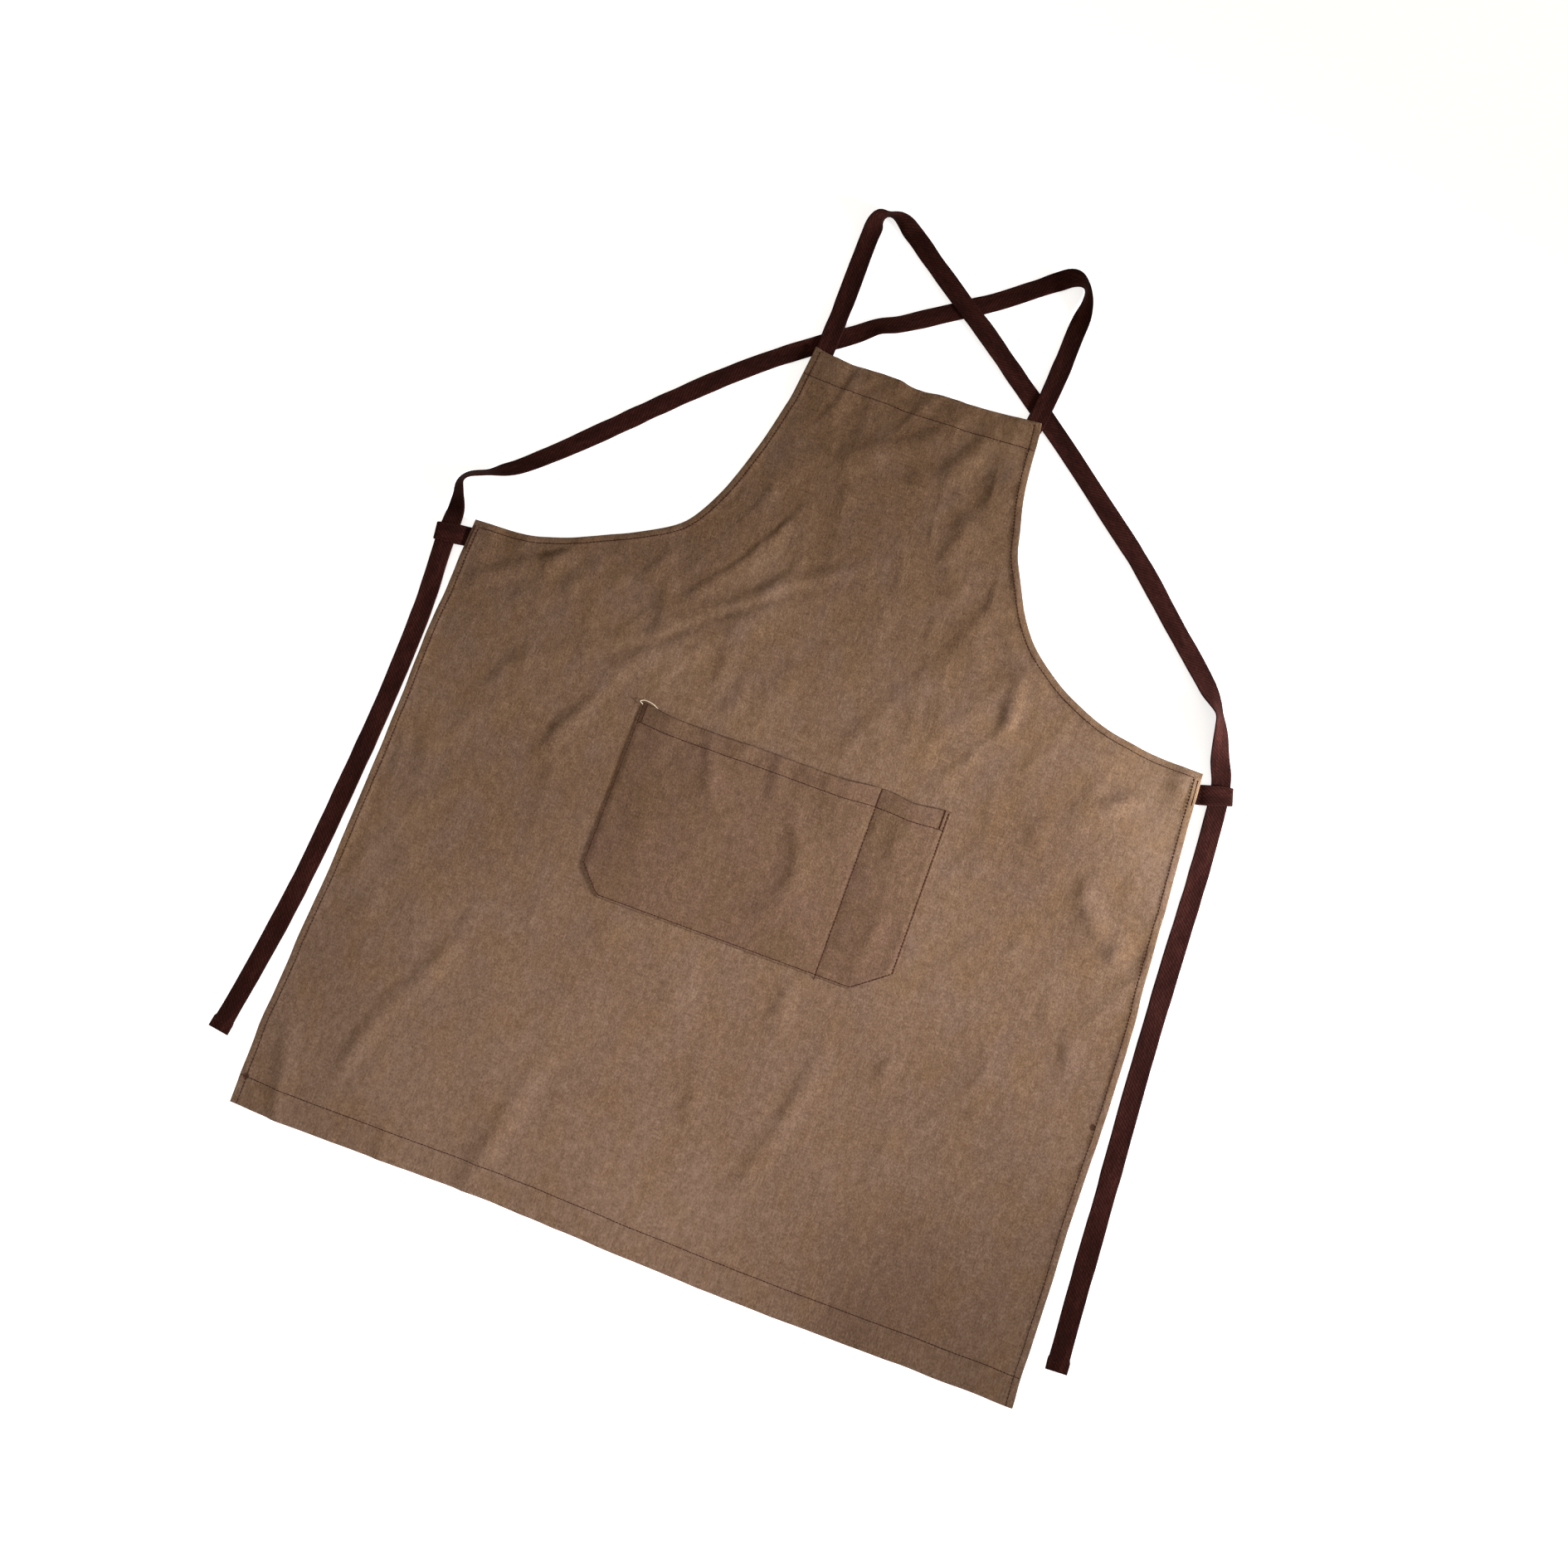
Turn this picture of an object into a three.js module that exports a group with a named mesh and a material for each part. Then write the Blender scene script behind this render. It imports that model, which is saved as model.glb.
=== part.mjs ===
// Cross-back work apron lying flat on its back, front face up.
// Millimetres. +X is the viewer's right, +Y runs from the bottom hem to the bib, +Z is up off the floor.
import * as THREE from 'three';

// Cloth and tape
const CLOTH = 1.2;
const HEM_CLOTH = 2.2;
const TAPE_WIDTH = 17.8;
const TAPE_THICK = 1.5;
const TAPE_EDGE = 0.6;
const EDGE_SHARE = 0.5;
const LOOP_WIDTH = 18;
const LOOP_THICK = 1.1;
const GAP = 0.4;

// Hems: depth from the cut edge to the stitch line, and the length over which the turned layer ends
const SIDE_HEM = 7;
const BOTTOM_HEM = 26;
const TOP_HEM = 29;
const HEM_STEP = 1.2;

// Panel grid
const PANEL_COLUMNS = 28;
const SIDE_ROW_PITCH = 30;
const BIB_TOP = 824;
const TOP_REACH = 50;
const BOTTOM_REACH = 120;
const WAIST_CORNER_ROOM = 14;

// Panel edge from the bottom corner to the waist corner, measured from the middle line
const SIDE = [
  { y: 0, left: 359, right: 366 },
  { y: 70, left: 361.2, right: 365 },
  { y: 140, left: 359, right: 363.8 },
  { y: 220, left: 355.5, right: 364.3 },
  { y: 310, left: 353.8, right: 362.7 },
  { y: 400, left: 353.2, right: 358 },
  { y: 450, left: 353.6, right: 355 },
  { y: 500, left: 351.8, right: 352.2 },
  { y: 564, left: 349.5, right: 348.5 },
];

// Armhole edge from the waist corner to the bib corner, measured from the middle line
const ARMHOLE = [
  { y: 565, left: 322, right: 321 },
  { y: 567, left: 295.5, right: 294.5 },
  { y: 571, left: 281, right: 273 },
  { y: 577, left: 264, right: 249.5 },
  { y: 584, left: 246.5, right: 231 },
  { y: 592, left: 229, right: 214 },
  { y: 602, left: 208.5, right: 198 },
  { y: 615, left: 184.5, right: 181.5 },
  { y: 628, left: 167.5, right: 168 },
  { y: 644, left: 156, right: 156.5 },
  { y: 667, left: 145, right: 144 },
  { y: 692, left: 136, right: 132.5 },
  { y: 720, left: 128, right: 124.5 },
  { y: 752, left: 121, right: 117 },
  { y: 780, left: 116, right: 113.8 },
  { y: BIB_TOP, left: 111, right: 110 },
];

// How far the bib's top edge and the bottom hem dip below their corners across the apron
const TOP_EDGE = [
  { x: -111, dip: 0 },
  { x: -82, dip: 4 },
  { x: -60, dip: 2.6 },
  { x: -32, dip: 3.4 },
  { x: -2, dip: 6.4 },
  { x: 30, dip: 4 },
  { x: 60, dip: 3 },
  { x: 84, dip: 1.8 },
  { x: 110, dip: 0 },
];
const BOTTOM_EDGE = [
  { x: -360, dip: 1 },
  { x: -320, dip: 2 },
  { x: -160, dip: 1.4 },
  { x: -80, dip: 1.2 },
  { x: 0, dip: 4.2 },
  { x: 80, dip: 6 },
  { x: 160, dip: 5.8 },
  { x: 240, dip: 5.2 },
  { x: 366, dip: 5 },
];

// Soft ridges in the panel: middle of each ridge, how far it runs, its half width, height and heading
const FOLDS = [
  { x: 72, y: 732, run: 78, half: 13, height: 3.0, heading: 62 },
  { x: 38, y: 754, run: 52, half: 12, height: 2.4, heading: 52 },
  { x: -8, y: 760, run: 50, half: 12, height: 2.0, heading: 42 },
  { x: -88, y: 640, run: 75, half: 14, height: 1.6, heading: 62 },
  { x: -78, y: 594, run: 150, half: 13, height: 2.8, heading: 32 },
  { x: -300, y: 534, run: 58, half: 14, height: 2.2, heading: 35 },
  { x: -266, y: 442, run: 70, half: 14, height: 2.4, heading: 55 },
  { x: -200, y: 396, run: 52, half: 14, height: 1.6, heading: 60 },
  { x: -236, y: 168, run: 75, half: 14, height: 2.2, heading: 66 },
  { x: -264, y: 84, run: 55, half: 14, height: 1.9, heading: 76 },
  { x: -323, y: 46, run: 48, half: 13, height: 1.8, heading: 104 },
  { x: -121, y: 74, run: 92, half: 14, height: 1.8, heading: 82 },
  { x: 96, y: 128, run: 112, half: 14, height: 2.0, heading: 76 },
  { x: 30, y: 146, run: 50, half: 13, height: 1.2, heading: 112 },
  { x: 174, y: 572, run: 36, half: 13, height: 2.0, heading: 94 },
  { x: 286, y: 506, run: 40, half: 13, height: 1.4, heading: 32 },
  { x: 240, y: 456, run: 45, half: 14, height: 1.8, heading: 100 },
  { x: 312, y: 412, run: 60, half: 14, height: 2.6, heading: 130 },
];
const FOLD_FLOOR = 0.35;

// Places where the panel is held up by the tapes sewn behind it
const TAPE_STACK = TAPE_THICK + GAP;
const BIB_LIFT = TAPE_STACK + TAPE_THICK + GAP;
const WAIST_LIFT = 2 * LOOP_THICK + 2 * GAP;
const PROPS = [
  { x: -102, y: 811, halfX: 13, halfY: 20, soft: 24, height: BIB_LIFT },
  { x: 106, y: 811, halfX: 15, halfY: 20, soft: 24, height: BIB_LIFT },
  { x: -349, y: 548, halfX: 13, halfY: 18, soft: 20, height: WAIST_LIFT },
  { x: 348, y: 546, halfX: 13, halfY: 18, soft: 20, height: WAIST_LIFT },
];

// Pocket: outline, top hem, the stitched divider, and how far its cloth stands off the panel
const POCKET = { left: -144, right: 151, bottom: 278, top: 456 };
const POCKET_CHAMFER = { left: 23, right: 33, height: 25 };
const POCKET_HEM = 19;
const POCKET_DIVIDER = 86;
const POCKET_SAG = 4;
const POCKET_ROWS = 9;
const POCKET_FLAT_MARGIN = 14;
const POCKET_BULGE = 1.6;
const POCKET_MOUTH = 1.8;
const POCKET_COLUMN_PITCH = 18;
const STITCH_REACH = 36;
const POCKET_SWELLS = [
  { x: 40, y: 372, run: 55, half: 16, height: 1.4, heading: 100 },
  { x: -52, y: 412, run: 42, half: 14, height: 0.9, heading: 110 },
];

// Tape routes: place of the tape's middle, height of its lower edge off the floor, tilt about its own run
const OVER = TAPE_STACK;
const IN_LOOP = LOOP_THICK + GAP;
const LEFT_STRAP = [
  { x: -102, y: 798, lift: OVER, bank: 0 },
  { x: -102, y: 824, lift: OVER, bank: 0 },
  { x: -101.2, y: 852, lift: OVER, bank: 0 },
  { x: -101.2, y: 886, lift: 0, bank: 0 },
  { x: -101.4, y: 924, lift: 0, bank: 0 },
  { x: -101, y: 947, lift: 0, bank: -5 },
  { x: -99.9, y: 956, lift: 0, bank: -20 },
  { x: -97, y: 963, lift: 0, bank: -62 },
  { x: -90.6, y: 967.6, lift: 0, bank: -84 },
  { x: -80.2, y: 967, lift: 0, bank: -74 },
  { x: -64.2, y: 960.5, lift: 0, bank: -10 },
  { x: -36.7, y: 940.5, lift: 0.4, bank: 0 },
  { x: -8.8, y: 919.5, lift: 1.8, bank: 0 },
  { x: 8.2, y: 907, lift: OVER, bank: 0 },
  { x: 30.2, y: 891.7, lift: 1.7, bank: 0 },
  { x: 80.2, y: 853.7, lift: 0, bank: 0 },
  { x: 137.2, y: 809.9, lift: 0, bank: 0 },
  { x: 194.2, y: 763.3, lift: 0, bank: 0 },
  { x: 236.2, y: 728.6, lift: 0, bank: 0 },
  { x: 286, y: 681, lift: 0, bank: 0 },
  { x: 311, y: 657.5, lift: 0, bank: 3 },
  { x: 331.5, y: 636.5, lift: 0, bank: 14 },
  { x: 345, y: 619, lift: 0, bank: 62 },
  { x: 350.5, y: 607, lift: 0, bank: 42 },
  { x: 358.5, y: 582, lift: 0.8, bank: 8 },
  { x: 365.6, y: 564, lift: IN_LOOP, bank: 0 },
  { x: 368.8, y: 545, lift: IN_LOOP, bank: 0 },
  { x: 370.5, y: 522, lift: IN_LOOP, bank: 0 },
  { x: 372.9, y: 480, lift: 0, bank: 0 },
  { x: 375.2, y: 390, lift: 0, bank: 0 },
  { x: 378.7, y: 290, lift: 0, bank: 0 },
  { x: 383.8, y: 190, lift: 0, bank: 0 },
  { x: 388, y: 95, lift: 0, bank: 0 },
  { x: 391.2, y: 36, lift: 0, bank: 0 },
];
const RIGHT_STRAP = [
  { x: 100, y: 800, lift: OVER, bank: 0 },
  { x: 104, y: 822, lift: OVER, bank: 0 },
  { x: 107.2, y: 848, lift: OVER, bank: 0 },
  { x: 109.7, y: 886, lift: 0, bank: 0 },
  { x: 110.6, y: 914, lift: 0, bank: 8 },
  { x: 111.6, y: 934, lift: 0, bank: 26 },
  { x: 110.4, y: 949, lift: 0, bank: 66 },
  { x: 104.5, y: 962.5, lift: 0, bank: 84 },
  { x: 92, y: 965, lift: 0, bank: 44 },
  { x: 80, y: 959.5, lift: 0, bank: 10 },
  { x: 63.3, y: 947, lift: 0, bank: 0 },
  { x: 33.3, y: 923.5, lift: 0, bank: 0 },
  { x: 8.2, y: 906.7, lift: 0, bank: 0 },
  { x: -25.7, y: 884.6, lift: 0, bank: 0 },
  { x: -47.7, y: 870.1, lift: 0, bank: -11 },
  { x: -62.7, y: 863.1, lift: 0, bank: -13 },
  { x: -79.7, y: 850.1, lift: 0, bank: 0 },
  { x: -136.7, y: 808.2, lift: 0, bank: 0 },
  { x: -180.7, y: 770.6, lift: 0, bank: 0 },
  { x: -222.7, y: 730.1, lift: 0, bank: 0 },
  { x: -264.7, y: 687.6, lift: 0, bank: 0 },
  { x: -302.7, y: 649.7, lift: 0, bank: -4 },
  { x: -330.8, y: 623.8, lift: 0, bank: -22 },
  { x: -342, y: 616.3, lift: 0, bank: -32 },
  { x: -354, y: 609, lift: 0, bank: -55 },
  { x: -371.3, y: 600.3, lift: 0, bank: -57 },
  { x: -375.6, y: 592.6, lift: 0, bank: -55 },
  { x: -373, y: 581, lift: 0.2, bank: -47 },
  { x: -370, y: 567, lift: 1.2, bank: -16 },
  { x: -370.2, y: 558.5, lift: IN_LOOP, bank: 0 },
  { x: -370, y: 541, lift: IN_LOOP, bank: 0 },
  { x: -368.8, y: 522, lift: IN_LOOP, bank: 0 },
  { x: -365.7, y: 475, lift: 0, bank: 0 },
  { x: -365.5, y: 390, lift: 0, bank: 0 },
  { x: -369.1, y: 300, lift: 0, bank: 0 },
  { x: -375.2, y: 200, lift: 0, bank: 0 },
  { x: -384.8, y: 115, lift: 0, bank: 0 },
  { x: -393.8, y: 53, lift: 0, bank: 0 },
];
const TAPE_SAMPLES = 124;
const END_FOLD = 11;
const END_EXTRA_WIDTH = 1.6;

// Loop seen end on: distance out from the panel edge and height of the middle of the tape
const LOOP_FLOOR = LOOP_THICK / 2;
const LOOP_TOP = LOOP_THICK + 2 * GAP + TAPE_THICK + LOOP_THICK / 2;
const LOOP_SEWN = LOOP_THICK * 1.5 + GAP;
const LOOP_PROFILE = [
  { out: -SIDE_HEM, z: LOOP_FLOOR },
  { out: 27, z: LOOP_FLOOR },
  { out: 30.6, z: LOOP_FLOOR + 0.4 },
  { out: 32.2, z: (LOOP_FLOOR + LOOP_TOP) / 2 },
  { out: 30.6, z: LOOP_TOP - 0.4 },
  { out: 27, z: LOOP_TOP },
  { out: 12, z: LOOP_TOP },
  { out: 7, z: LOOP_TOP - 0.6 },
  { out: 2.5, z: LOOP_SEWN + 0.2 },
  { out: -1, z: LOOP_SEWN },
  { out: -SIDE_HEM, z: LOOP_SEWN },
];
const LOOPS = {
  left: { x: -350, y: 547, toward: -1, turn: 8 },
  right: { x: 349, y: 545, toward: 1, turn: 15 },
};

// Colours
const CANVAS_COLOUR = 0x7c604b;
const POCKET_COLOUR = 0x7a5f4d;
const TAPE_COLOUR = 0x2c1815;

const canvas = new THREE.MeshStandardMaterial({ name: 'canvas', color: CANVAS_COLOUR, roughness: 0.95 });
const pocketCanvas = new THREE.MeshStandardMaterial({
  name: 'pocket_canvas', color: POCKET_COLOUR, roughness: 0.95,
});
const tape = new THREE.MeshStandardMaterial({ name: 'tape', color: TAPE_COLOUR, roughness: 0.9 });

const { smoothstep, lerp, degToRad } = THREE.MathUtils;

// A closed cloth solid from two matching grids of points, its lower and upper faces.
function closedSheet(lower, upper) {
  const rows = lower.length;
  const columns = lower[0].length;
  const positions = [];
  for (const grid of [lower, upper]) {
    for (const row of grid) {
      for (const point of row) {
        positions.push(point.x, point.y, point.z);
      }
    }
  }
  const low = (i, j) => i * columns + j;
  const high = (i, j) => rows * columns + low(i, j);
  const triangles = [];
  const quad = (a, b, c, d) => triangles.push(a, b, c, a, c, d);
  for (let i = 0; i < rows - 1; i += 1) {
    for (let j = 0; j < columns - 1; j += 1) {
      quad(high(i, j), high(i, j + 1), high(i + 1, j + 1), high(i + 1, j));
      quad(low(i, j), low(i + 1, j), low(i + 1, j + 1), low(i, j + 1));
    }
    const last = columns - 1;
    quad(low(i, 0), high(i, 0), high(i + 1, 0), low(i + 1, 0));
    quad(low(i, last), low(i + 1, last), high(i + 1, last), high(i, last));
  }
  for (let j = 0; j < columns - 1; j += 1) {
    const end = rows - 1;
    quad(low(0, j), low(0, j + 1), high(0, j + 1), high(0, j));
    quad(low(end, j), high(end, j), high(end, j + 1), low(end, j + 1));
  }
  const geometry = new THREE.BufferGeometry();
  geometry.setAttribute('position', new THREE.Float32BufferAttribute(positions, 3));
  geometry.setIndex(triangles);
  geometry.computeVertexNormals();
  return geometry;
}

// Reads one column of a table at a place along another, straight between its rows.
function columnAt(table, column, along, place) {
  for (let i = 1; i < table.length; i += 1) {
    const before = table[i - 1];
    const after = table[i];
    if (place <= after[along]) {
      const share = (place - before[along]) / (after[along] - before[along]);
      return lerp(before[column], after[column], Math.max(0, share));
    }
  }
  return table[table.length - 1][column];
}

// One where a place is inside a margin, falling softly to nothing outside it.
function soften(distance, half, soft) {
  return 1 - smoothstep(distance, half, half + soft);
}

// Height that a table of soft ridges adds at a place.
function ridgesAt(table, x, y) {
  let height = 0;
  for (const ridge of table) {
    const heading = degToRad(ridge.heading);
    const dx = x - ridge.x;
    const dy = y - ridge.y;
    const along = (dx * Math.cos(heading) + dy * Math.sin(heading)) / ridge.run;
    const across = (dy * Math.cos(heading) - dx * Math.sin(heading)) / ridge.half;
    height += ridge.height * Math.exp(-along * along - across * across);
  }
  return height;
}

// How high the back of the panel stands off the floor at a place.
function panelLift(x, y) {
  const middleX = (POCKET.left + POCKET.right) / 2;
  const middleY = (POCKET.bottom + POCKET.top) / 2;
  const roomX = POCKET.right - middleX + POCKET_FLAT_MARGIN;
  const roomY = POCKET.top - middleY + POCKET_FLAT_MARGIN;
  const besideX = soften(Math.abs(x - middleX), roomX, POCKET_FLAT_MARGIN);
  const besideY = soften(Math.abs(y - middleY), roomY, POCKET_FLAT_MARGIN);
  let lift = Math.max(0, ridgesAt(FOLDS, x, y) - FOLD_FLOOR) * (1 - besideX * besideY);
  for (const prop of PROPS) {
    const nearX = soften(Math.abs(x - prop.x), prop.halfX, prop.soft);
    const nearY = soften(Math.abs(y - prop.y), prop.halfY, prop.soft);
    lift = Math.max(lift, prop.height * nearX * nearY);
  }
  return lift;
}

// Edge points of the panel, row by row from the bottom hem to the bib.
function panelEdges() {
  const waist = SIDE[SIDE.length - 1].y;
  const heights = [0, BOTTOM_HEM - HEM_STEP / 2, BOTTOM_HEM + HEM_STEP / 2];
  const clear = waist - 4 * WAIST_CORNER_ROOM;
  const count = Math.round((clear - BOTTOM_HEM) / SIDE_ROW_PITCH);
  for (let i = 1; i <= count; i += 1) {
    heights.push(lerp(BOTTOM_HEM, clear, i / count));
  }
  for (let i = 3; i >= 0; i -= 1) {
    heights.push(waist - i * WAIST_CORNER_ROOM);
  }
  const edges = heights.map((y) => ({
    left: new THREE.Vector2(-columnAt(SIDE, 'left', 'y', y), y),
    right: new THREE.Vector2(columnAt(SIDE, 'right', 'y', y), y),
  }));
  const stitch = BIB_TOP - TOP_HEM;
  const armholeHeights = ARMHOLE.map((row) => row.y);
  armholeHeights.push(stitch - HEM_STEP / 2, stitch + HEM_STEP / 2, BIB_TOP - TOP_HEM / 2);
  armholeHeights.sort((a, b) => a - b);
  for (const y of armholeHeights) {
    edges.push({
      left: new THREE.Vector2(-columnAt(ARMHOLE, 'left', 'y', y), y),
      right: new THREE.Vector2(columnAt(ARMHOLE, 'right', 'y', y), y),
    });
  }
  return edges;
}

// A point a set distance inside the panel's edge.
function inset(points, index, distance, inward) {
  const here = points[index];
  if (index === 0 || index === points.length - 1) {
    return new THREE.Vector2(here.x + inward * distance, here.y);
  }
  const before = new THREE.Vector2().subVectors(here, points[index - 1]).normalize();
  const after = new THREE.Vector2().subVectors(points[index + 1], here).normalize();
  const first = new THREE.Vector2(inward * before.y, -inward * before.x);
  const second = new THREE.Vector2(inward * after.y, -inward * after.x);
  const mitre = first.clone().add(second).normalize();
  return here.clone().addScaledVector(mitre, distance / mitre.dot(first));
}

// Panel: one piece of canvas with its hems turned to the back.
function makePanel() {
  const edges = panelEdges();
  const leftEdge = edges.map((edge) => edge.left);
  const rightEdge = edges.map((edge) => edge.right);
  const lower = [];
  const upper = [];
  edges.forEach((edge, i) => {
    const flat = [edge.left, inset(leftEdge, i, SIDE_HEM, 1)];
    const from = inset(leftEdge, i, SIDE_HEM + HEM_STEP, 1);
    const to = inset(rightEdge, i, SIDE_HEM + HEM_STEP, -1);
    for (let j = 0; j <= PANEL_COLUMNS; j += 1) {
      flat.push(new THREE.Vector2().lerpVectors(from, to, j / PANEL_COLUMNS));
    }
    flat.push(inset(rightEdge, i, SIDE_HEM, -1), edge.right);
    const height = edge.left.y;
    const inRowHem = height < BOTTOM_HEM || height > BIB_TOP - TOP_HEM;
    const lowRow = [];
    const highRow = [];
    flat.forEach((point, j) => {
      const sag = columnAt(TOP_EDGE, 'dip', 'x', point.x) * smoothstep(height, BIB_TOP - TOP_REACH, BIB_TOP);
      const drop = columnAt(BOTTOM_EDGE, 'dip', 'x', point.x) * (1 - smoothstep(height, 0, BOTTOM_REACH));
      const y = point.y - sag - drop;
      const inSideHem = j < 2 || j > flat.length - 3;
      const lift = panelLift(point.x, y);
      lowRow.push(new THREE.Vector3(point.x, y, lift));
      highRow.push(new THREE.Vector3(point.x, y, lift + (inRowHem || inSideHem ? HEM_CLOTH : CLOTH)));
    });
    lower.push(lowRow);
    upper.push(highRow);
  });
  return closedSheet(lower, upper);
}

// Height of the pocket's lower edge at a place across it, with its cut corners.
function pocketFoot(x) {
  const leftCut = 1 - (x - POCKET.left) / POCKET_CHAMFER.left;
  const rightCut = 1 - (POCKET.right - x) / POCKET_CHAMFER.right;
  return POCKET.bottom + POCKET_CHAMFER.height * Math.max(0, leftCut, rightCut);
}

// Pocket: a patch held by its stitched edges and divider, standing a little open at the mouth.
function makePocket() {
  const stops = [POCKET.left, POCKET.left + POCKET_CHAMFER.left, POCKET_DIVIDER,
    POCKET.right - POCKET_CHAMFER.right, POCKET.right];
  const across = [POCKET.left];
  for (let i = 1; i < stops.length; i += 1) {
    const parts = Math.max(2, Math.round((stops[i] - stops[i - 1]) / POCKET_COLUMN_PITCH));
    for (let part = 1; part <= parts; part += 1) {
      across.push(lerp(stops[i - 1], stops[i], part / parts));
    }
  }
  const hemLine = POCKET.top - POCKET_HEM;
  const heightsAt = (foot) => {
    const heights = [];
    for (let i = 0; i <= POCKET_ROWS; i += 1) {
      heights.push(lerp(foot, hemLine - HEM_STEP, i / POCKET_ROWS));
    }
    heights.push(hemLine, lerp(hemLine, POCKET.top, 0.5), POCKET.top);
    return heights;
  };
  const lower = [];
  const upper = [];
  const rowCount = heightsAt(POCKET.bottom).length;
  for (let i = 0; i < rowCount; i += 1) {
    const lowRow = [];
    const highRow = [];
    for (const x of across) {
      const foot = pocketFoot(x);
      const y = heightsAt(foot)[i];
      const toStitch = Math.min(x - POCKET.left, POCKET.right - x, Math.abs(x - POCKET_DIVIDER));
      const free = smoothstep(toStitch, 0, STITCH_REACH);
      const bag = (POCKET_BULGE + ridgesAt(POCKET_SWELLS, x, y)) * smoothstep(y - foot, 0, STITCH_REACH);
      const mouth = POCKET_MOUTH * smoothstep(y, hemLine - POCKET_HEM, POCKET.top);
      const sag = POCKET_SAG * free * smoothstep(y, hemLine - POCKET_HEM, POCKET.top);
      const z = CLOTH + GAP + free * (bag + mouth);
      const thick = i >= rowCount - 3 ? HEM_CLOTH : CLOTH;
      lowRow.push(new THREE.Vector3(x, y - sag, z));
      highRow.push(new THREE.Vector3(x, y - sag, z + thick));
    }
    lower.push(lowRow);
    upper.push(highRow);
  }
  return closedSheet(lower, upper);
}

// Tape swept along its route, standing on edge where it turns, with a folded and sewn free end.
function makeStrap(route) {
  const middle = new THREE.CatmullRomCurve3(
    route.map((row) => new THREE.Vector3(row.x, row.y, 0)), false, 'centripetal');
  const carried = new THREE.CatmullRomCurve3(
    route.map((row, i) => new THREE.Vector3(i, row.lift, row.bank)), false, 'catmullrom', 0.2);
  const length = middle.getLength();
  const foldStart = 1 - END_FOLD / length;
  const shares = [];
  for (let i = 0; i <= TAPE_SAMPLES; i += 1) {
    shares.push(foldStart * i / TAPE_SAMPLES);
  }
  shares.push(foldStart + HEM_STEP / length, 1);
  const lower = [];
  const upper = [];
  shares.forEach((share, i) => {
    const step = middle.getUtoTmapping(share);
    const place = middle.getPoint(step);
    const run = middle.getTangent(step);
    const held = carried.getPoint(step);
    const bank = degToRad(held.z);
    const folded = i > TAPE_SAMPLES;
    const half = (TAPE_WIDTH + (folded ? END_EXTRA_WIDTH : 0)) / 2;
    const thick = TAPE_THICK * (folded ? 2 : 1);
    const beside = new THREE.Vector3(run.y, -run.x, 0).normalize();
    const upright = new THREE.Vector3(0, 0, 1);
    const side = beside.clone().multiplyScalar(Math.cos(bank)).addScaledVector(upright, Math.sin(bank));
    const face = upright.clone().multiplyScalar(Math.cos(bank)).addScaledVector(beside, -Math.sin(bank));
    const rest = Math.max(0, held.y) + half * Math.abs(Math.sin(bank)) + thick / 2 * Math.cos(bank);
    place.setZ(rest);
    const lowRow = [];
    const highRow = [];
    for (const reach of [-half, TAPE_EDGE - half, half - TAPE_EDGE, half]) {
      const spot = place.clone().addScaledVector(side, reach);
      const body = Math.abs(reach) === half ? thick * EDGE_SHARE : thick;
      lowRow.push(spot.clone().addScaledVector(face, -body / 2));
      highRow.push(spot.clone().addScaledVector(face, body / 2));
    }
    lower.push(lowRow);
    upper.push(highRow);
  });
  return closedSheet(lower, upper);
}

// Loop: a short tape doubled over and sewn under the side hem, with a strap passing through it.
function makeLoop(place) {
  const turn = degToRad(place.turn);
  const outward = new THREE.Vector3(Math.cos(turn), Math.sin(turn), 0).multiplyScalar(place.toward);
  const across = new THREE.Vector3(outward.y, -outward.x, 0);
  const path = LOOP_PROFILE.map(
    (row) => new THREE.Vector3(place.x, place.y, row.z).addScaledVector(outward, row.out));
  const lower = [];
  const upper = [];
  path.forEach((point, i) => {
    const run = new THREE.Vector3().subVectors(
      path[Math.min(i + 1, path.length - 1)], path[Math.max(i - 1, 0)]).normalize();
    const face = new THREE.Vector3().crossVectors(across, run);
    const lowRow = [];
    const highRow = [];
    for (const reach of [-LOOP_WIDTH / 2, 0, LOOP_WIDTH / 2]) {
      const spot = point.clone().addScaledVector(across, reach);
      lowRow.push(spot.clone().addScaledVector(face, -LOOP_THICK / 2));
      highRow.push(spot.clone().addScaledVector(face, LOOP_THICK / 2));
    }
    lower.push(lowRow);
    upper.push(highRow);
  });
  return closedSheet(lower, upper);
}

const apron = new THREE.Group();
apron.name = 'apron';

function addPiece(name, geometry, material) {
  const piece = new THREE.Mesh(geometry, material);
  piece.name = name;
  apron.add(piece);
}

addPiece('panel', makePanel(), canvas);
addPiece('pocket', makePocket(), pocketCanvas);
addPiece('strap_left', makeStrap(LEFT_STRAP), tape);
addPiece('strap_right', makeStrap(RIGHT_STRAP), tape);
addPiece('loop_left', makeLoop(LOOPS.left), tape);
addPiece('loop_right', makeLoop(LOOPS.right), tape);

// The origin is the middle of the apron's outline on the floor.
const outline = new THREE.Box3().setFromObject(apron);
const middle = outline.getCenter(new THREE.Vector3());
for (const piece of apron.children) {
  piece.geometry.translate(-middle.x, -middle.y, -outline.min.z);
}

export default apron;
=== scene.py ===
import math
from collections import namedtuple

import bpy
import numpy as np
from mathutils import Matrix, Vector


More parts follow.
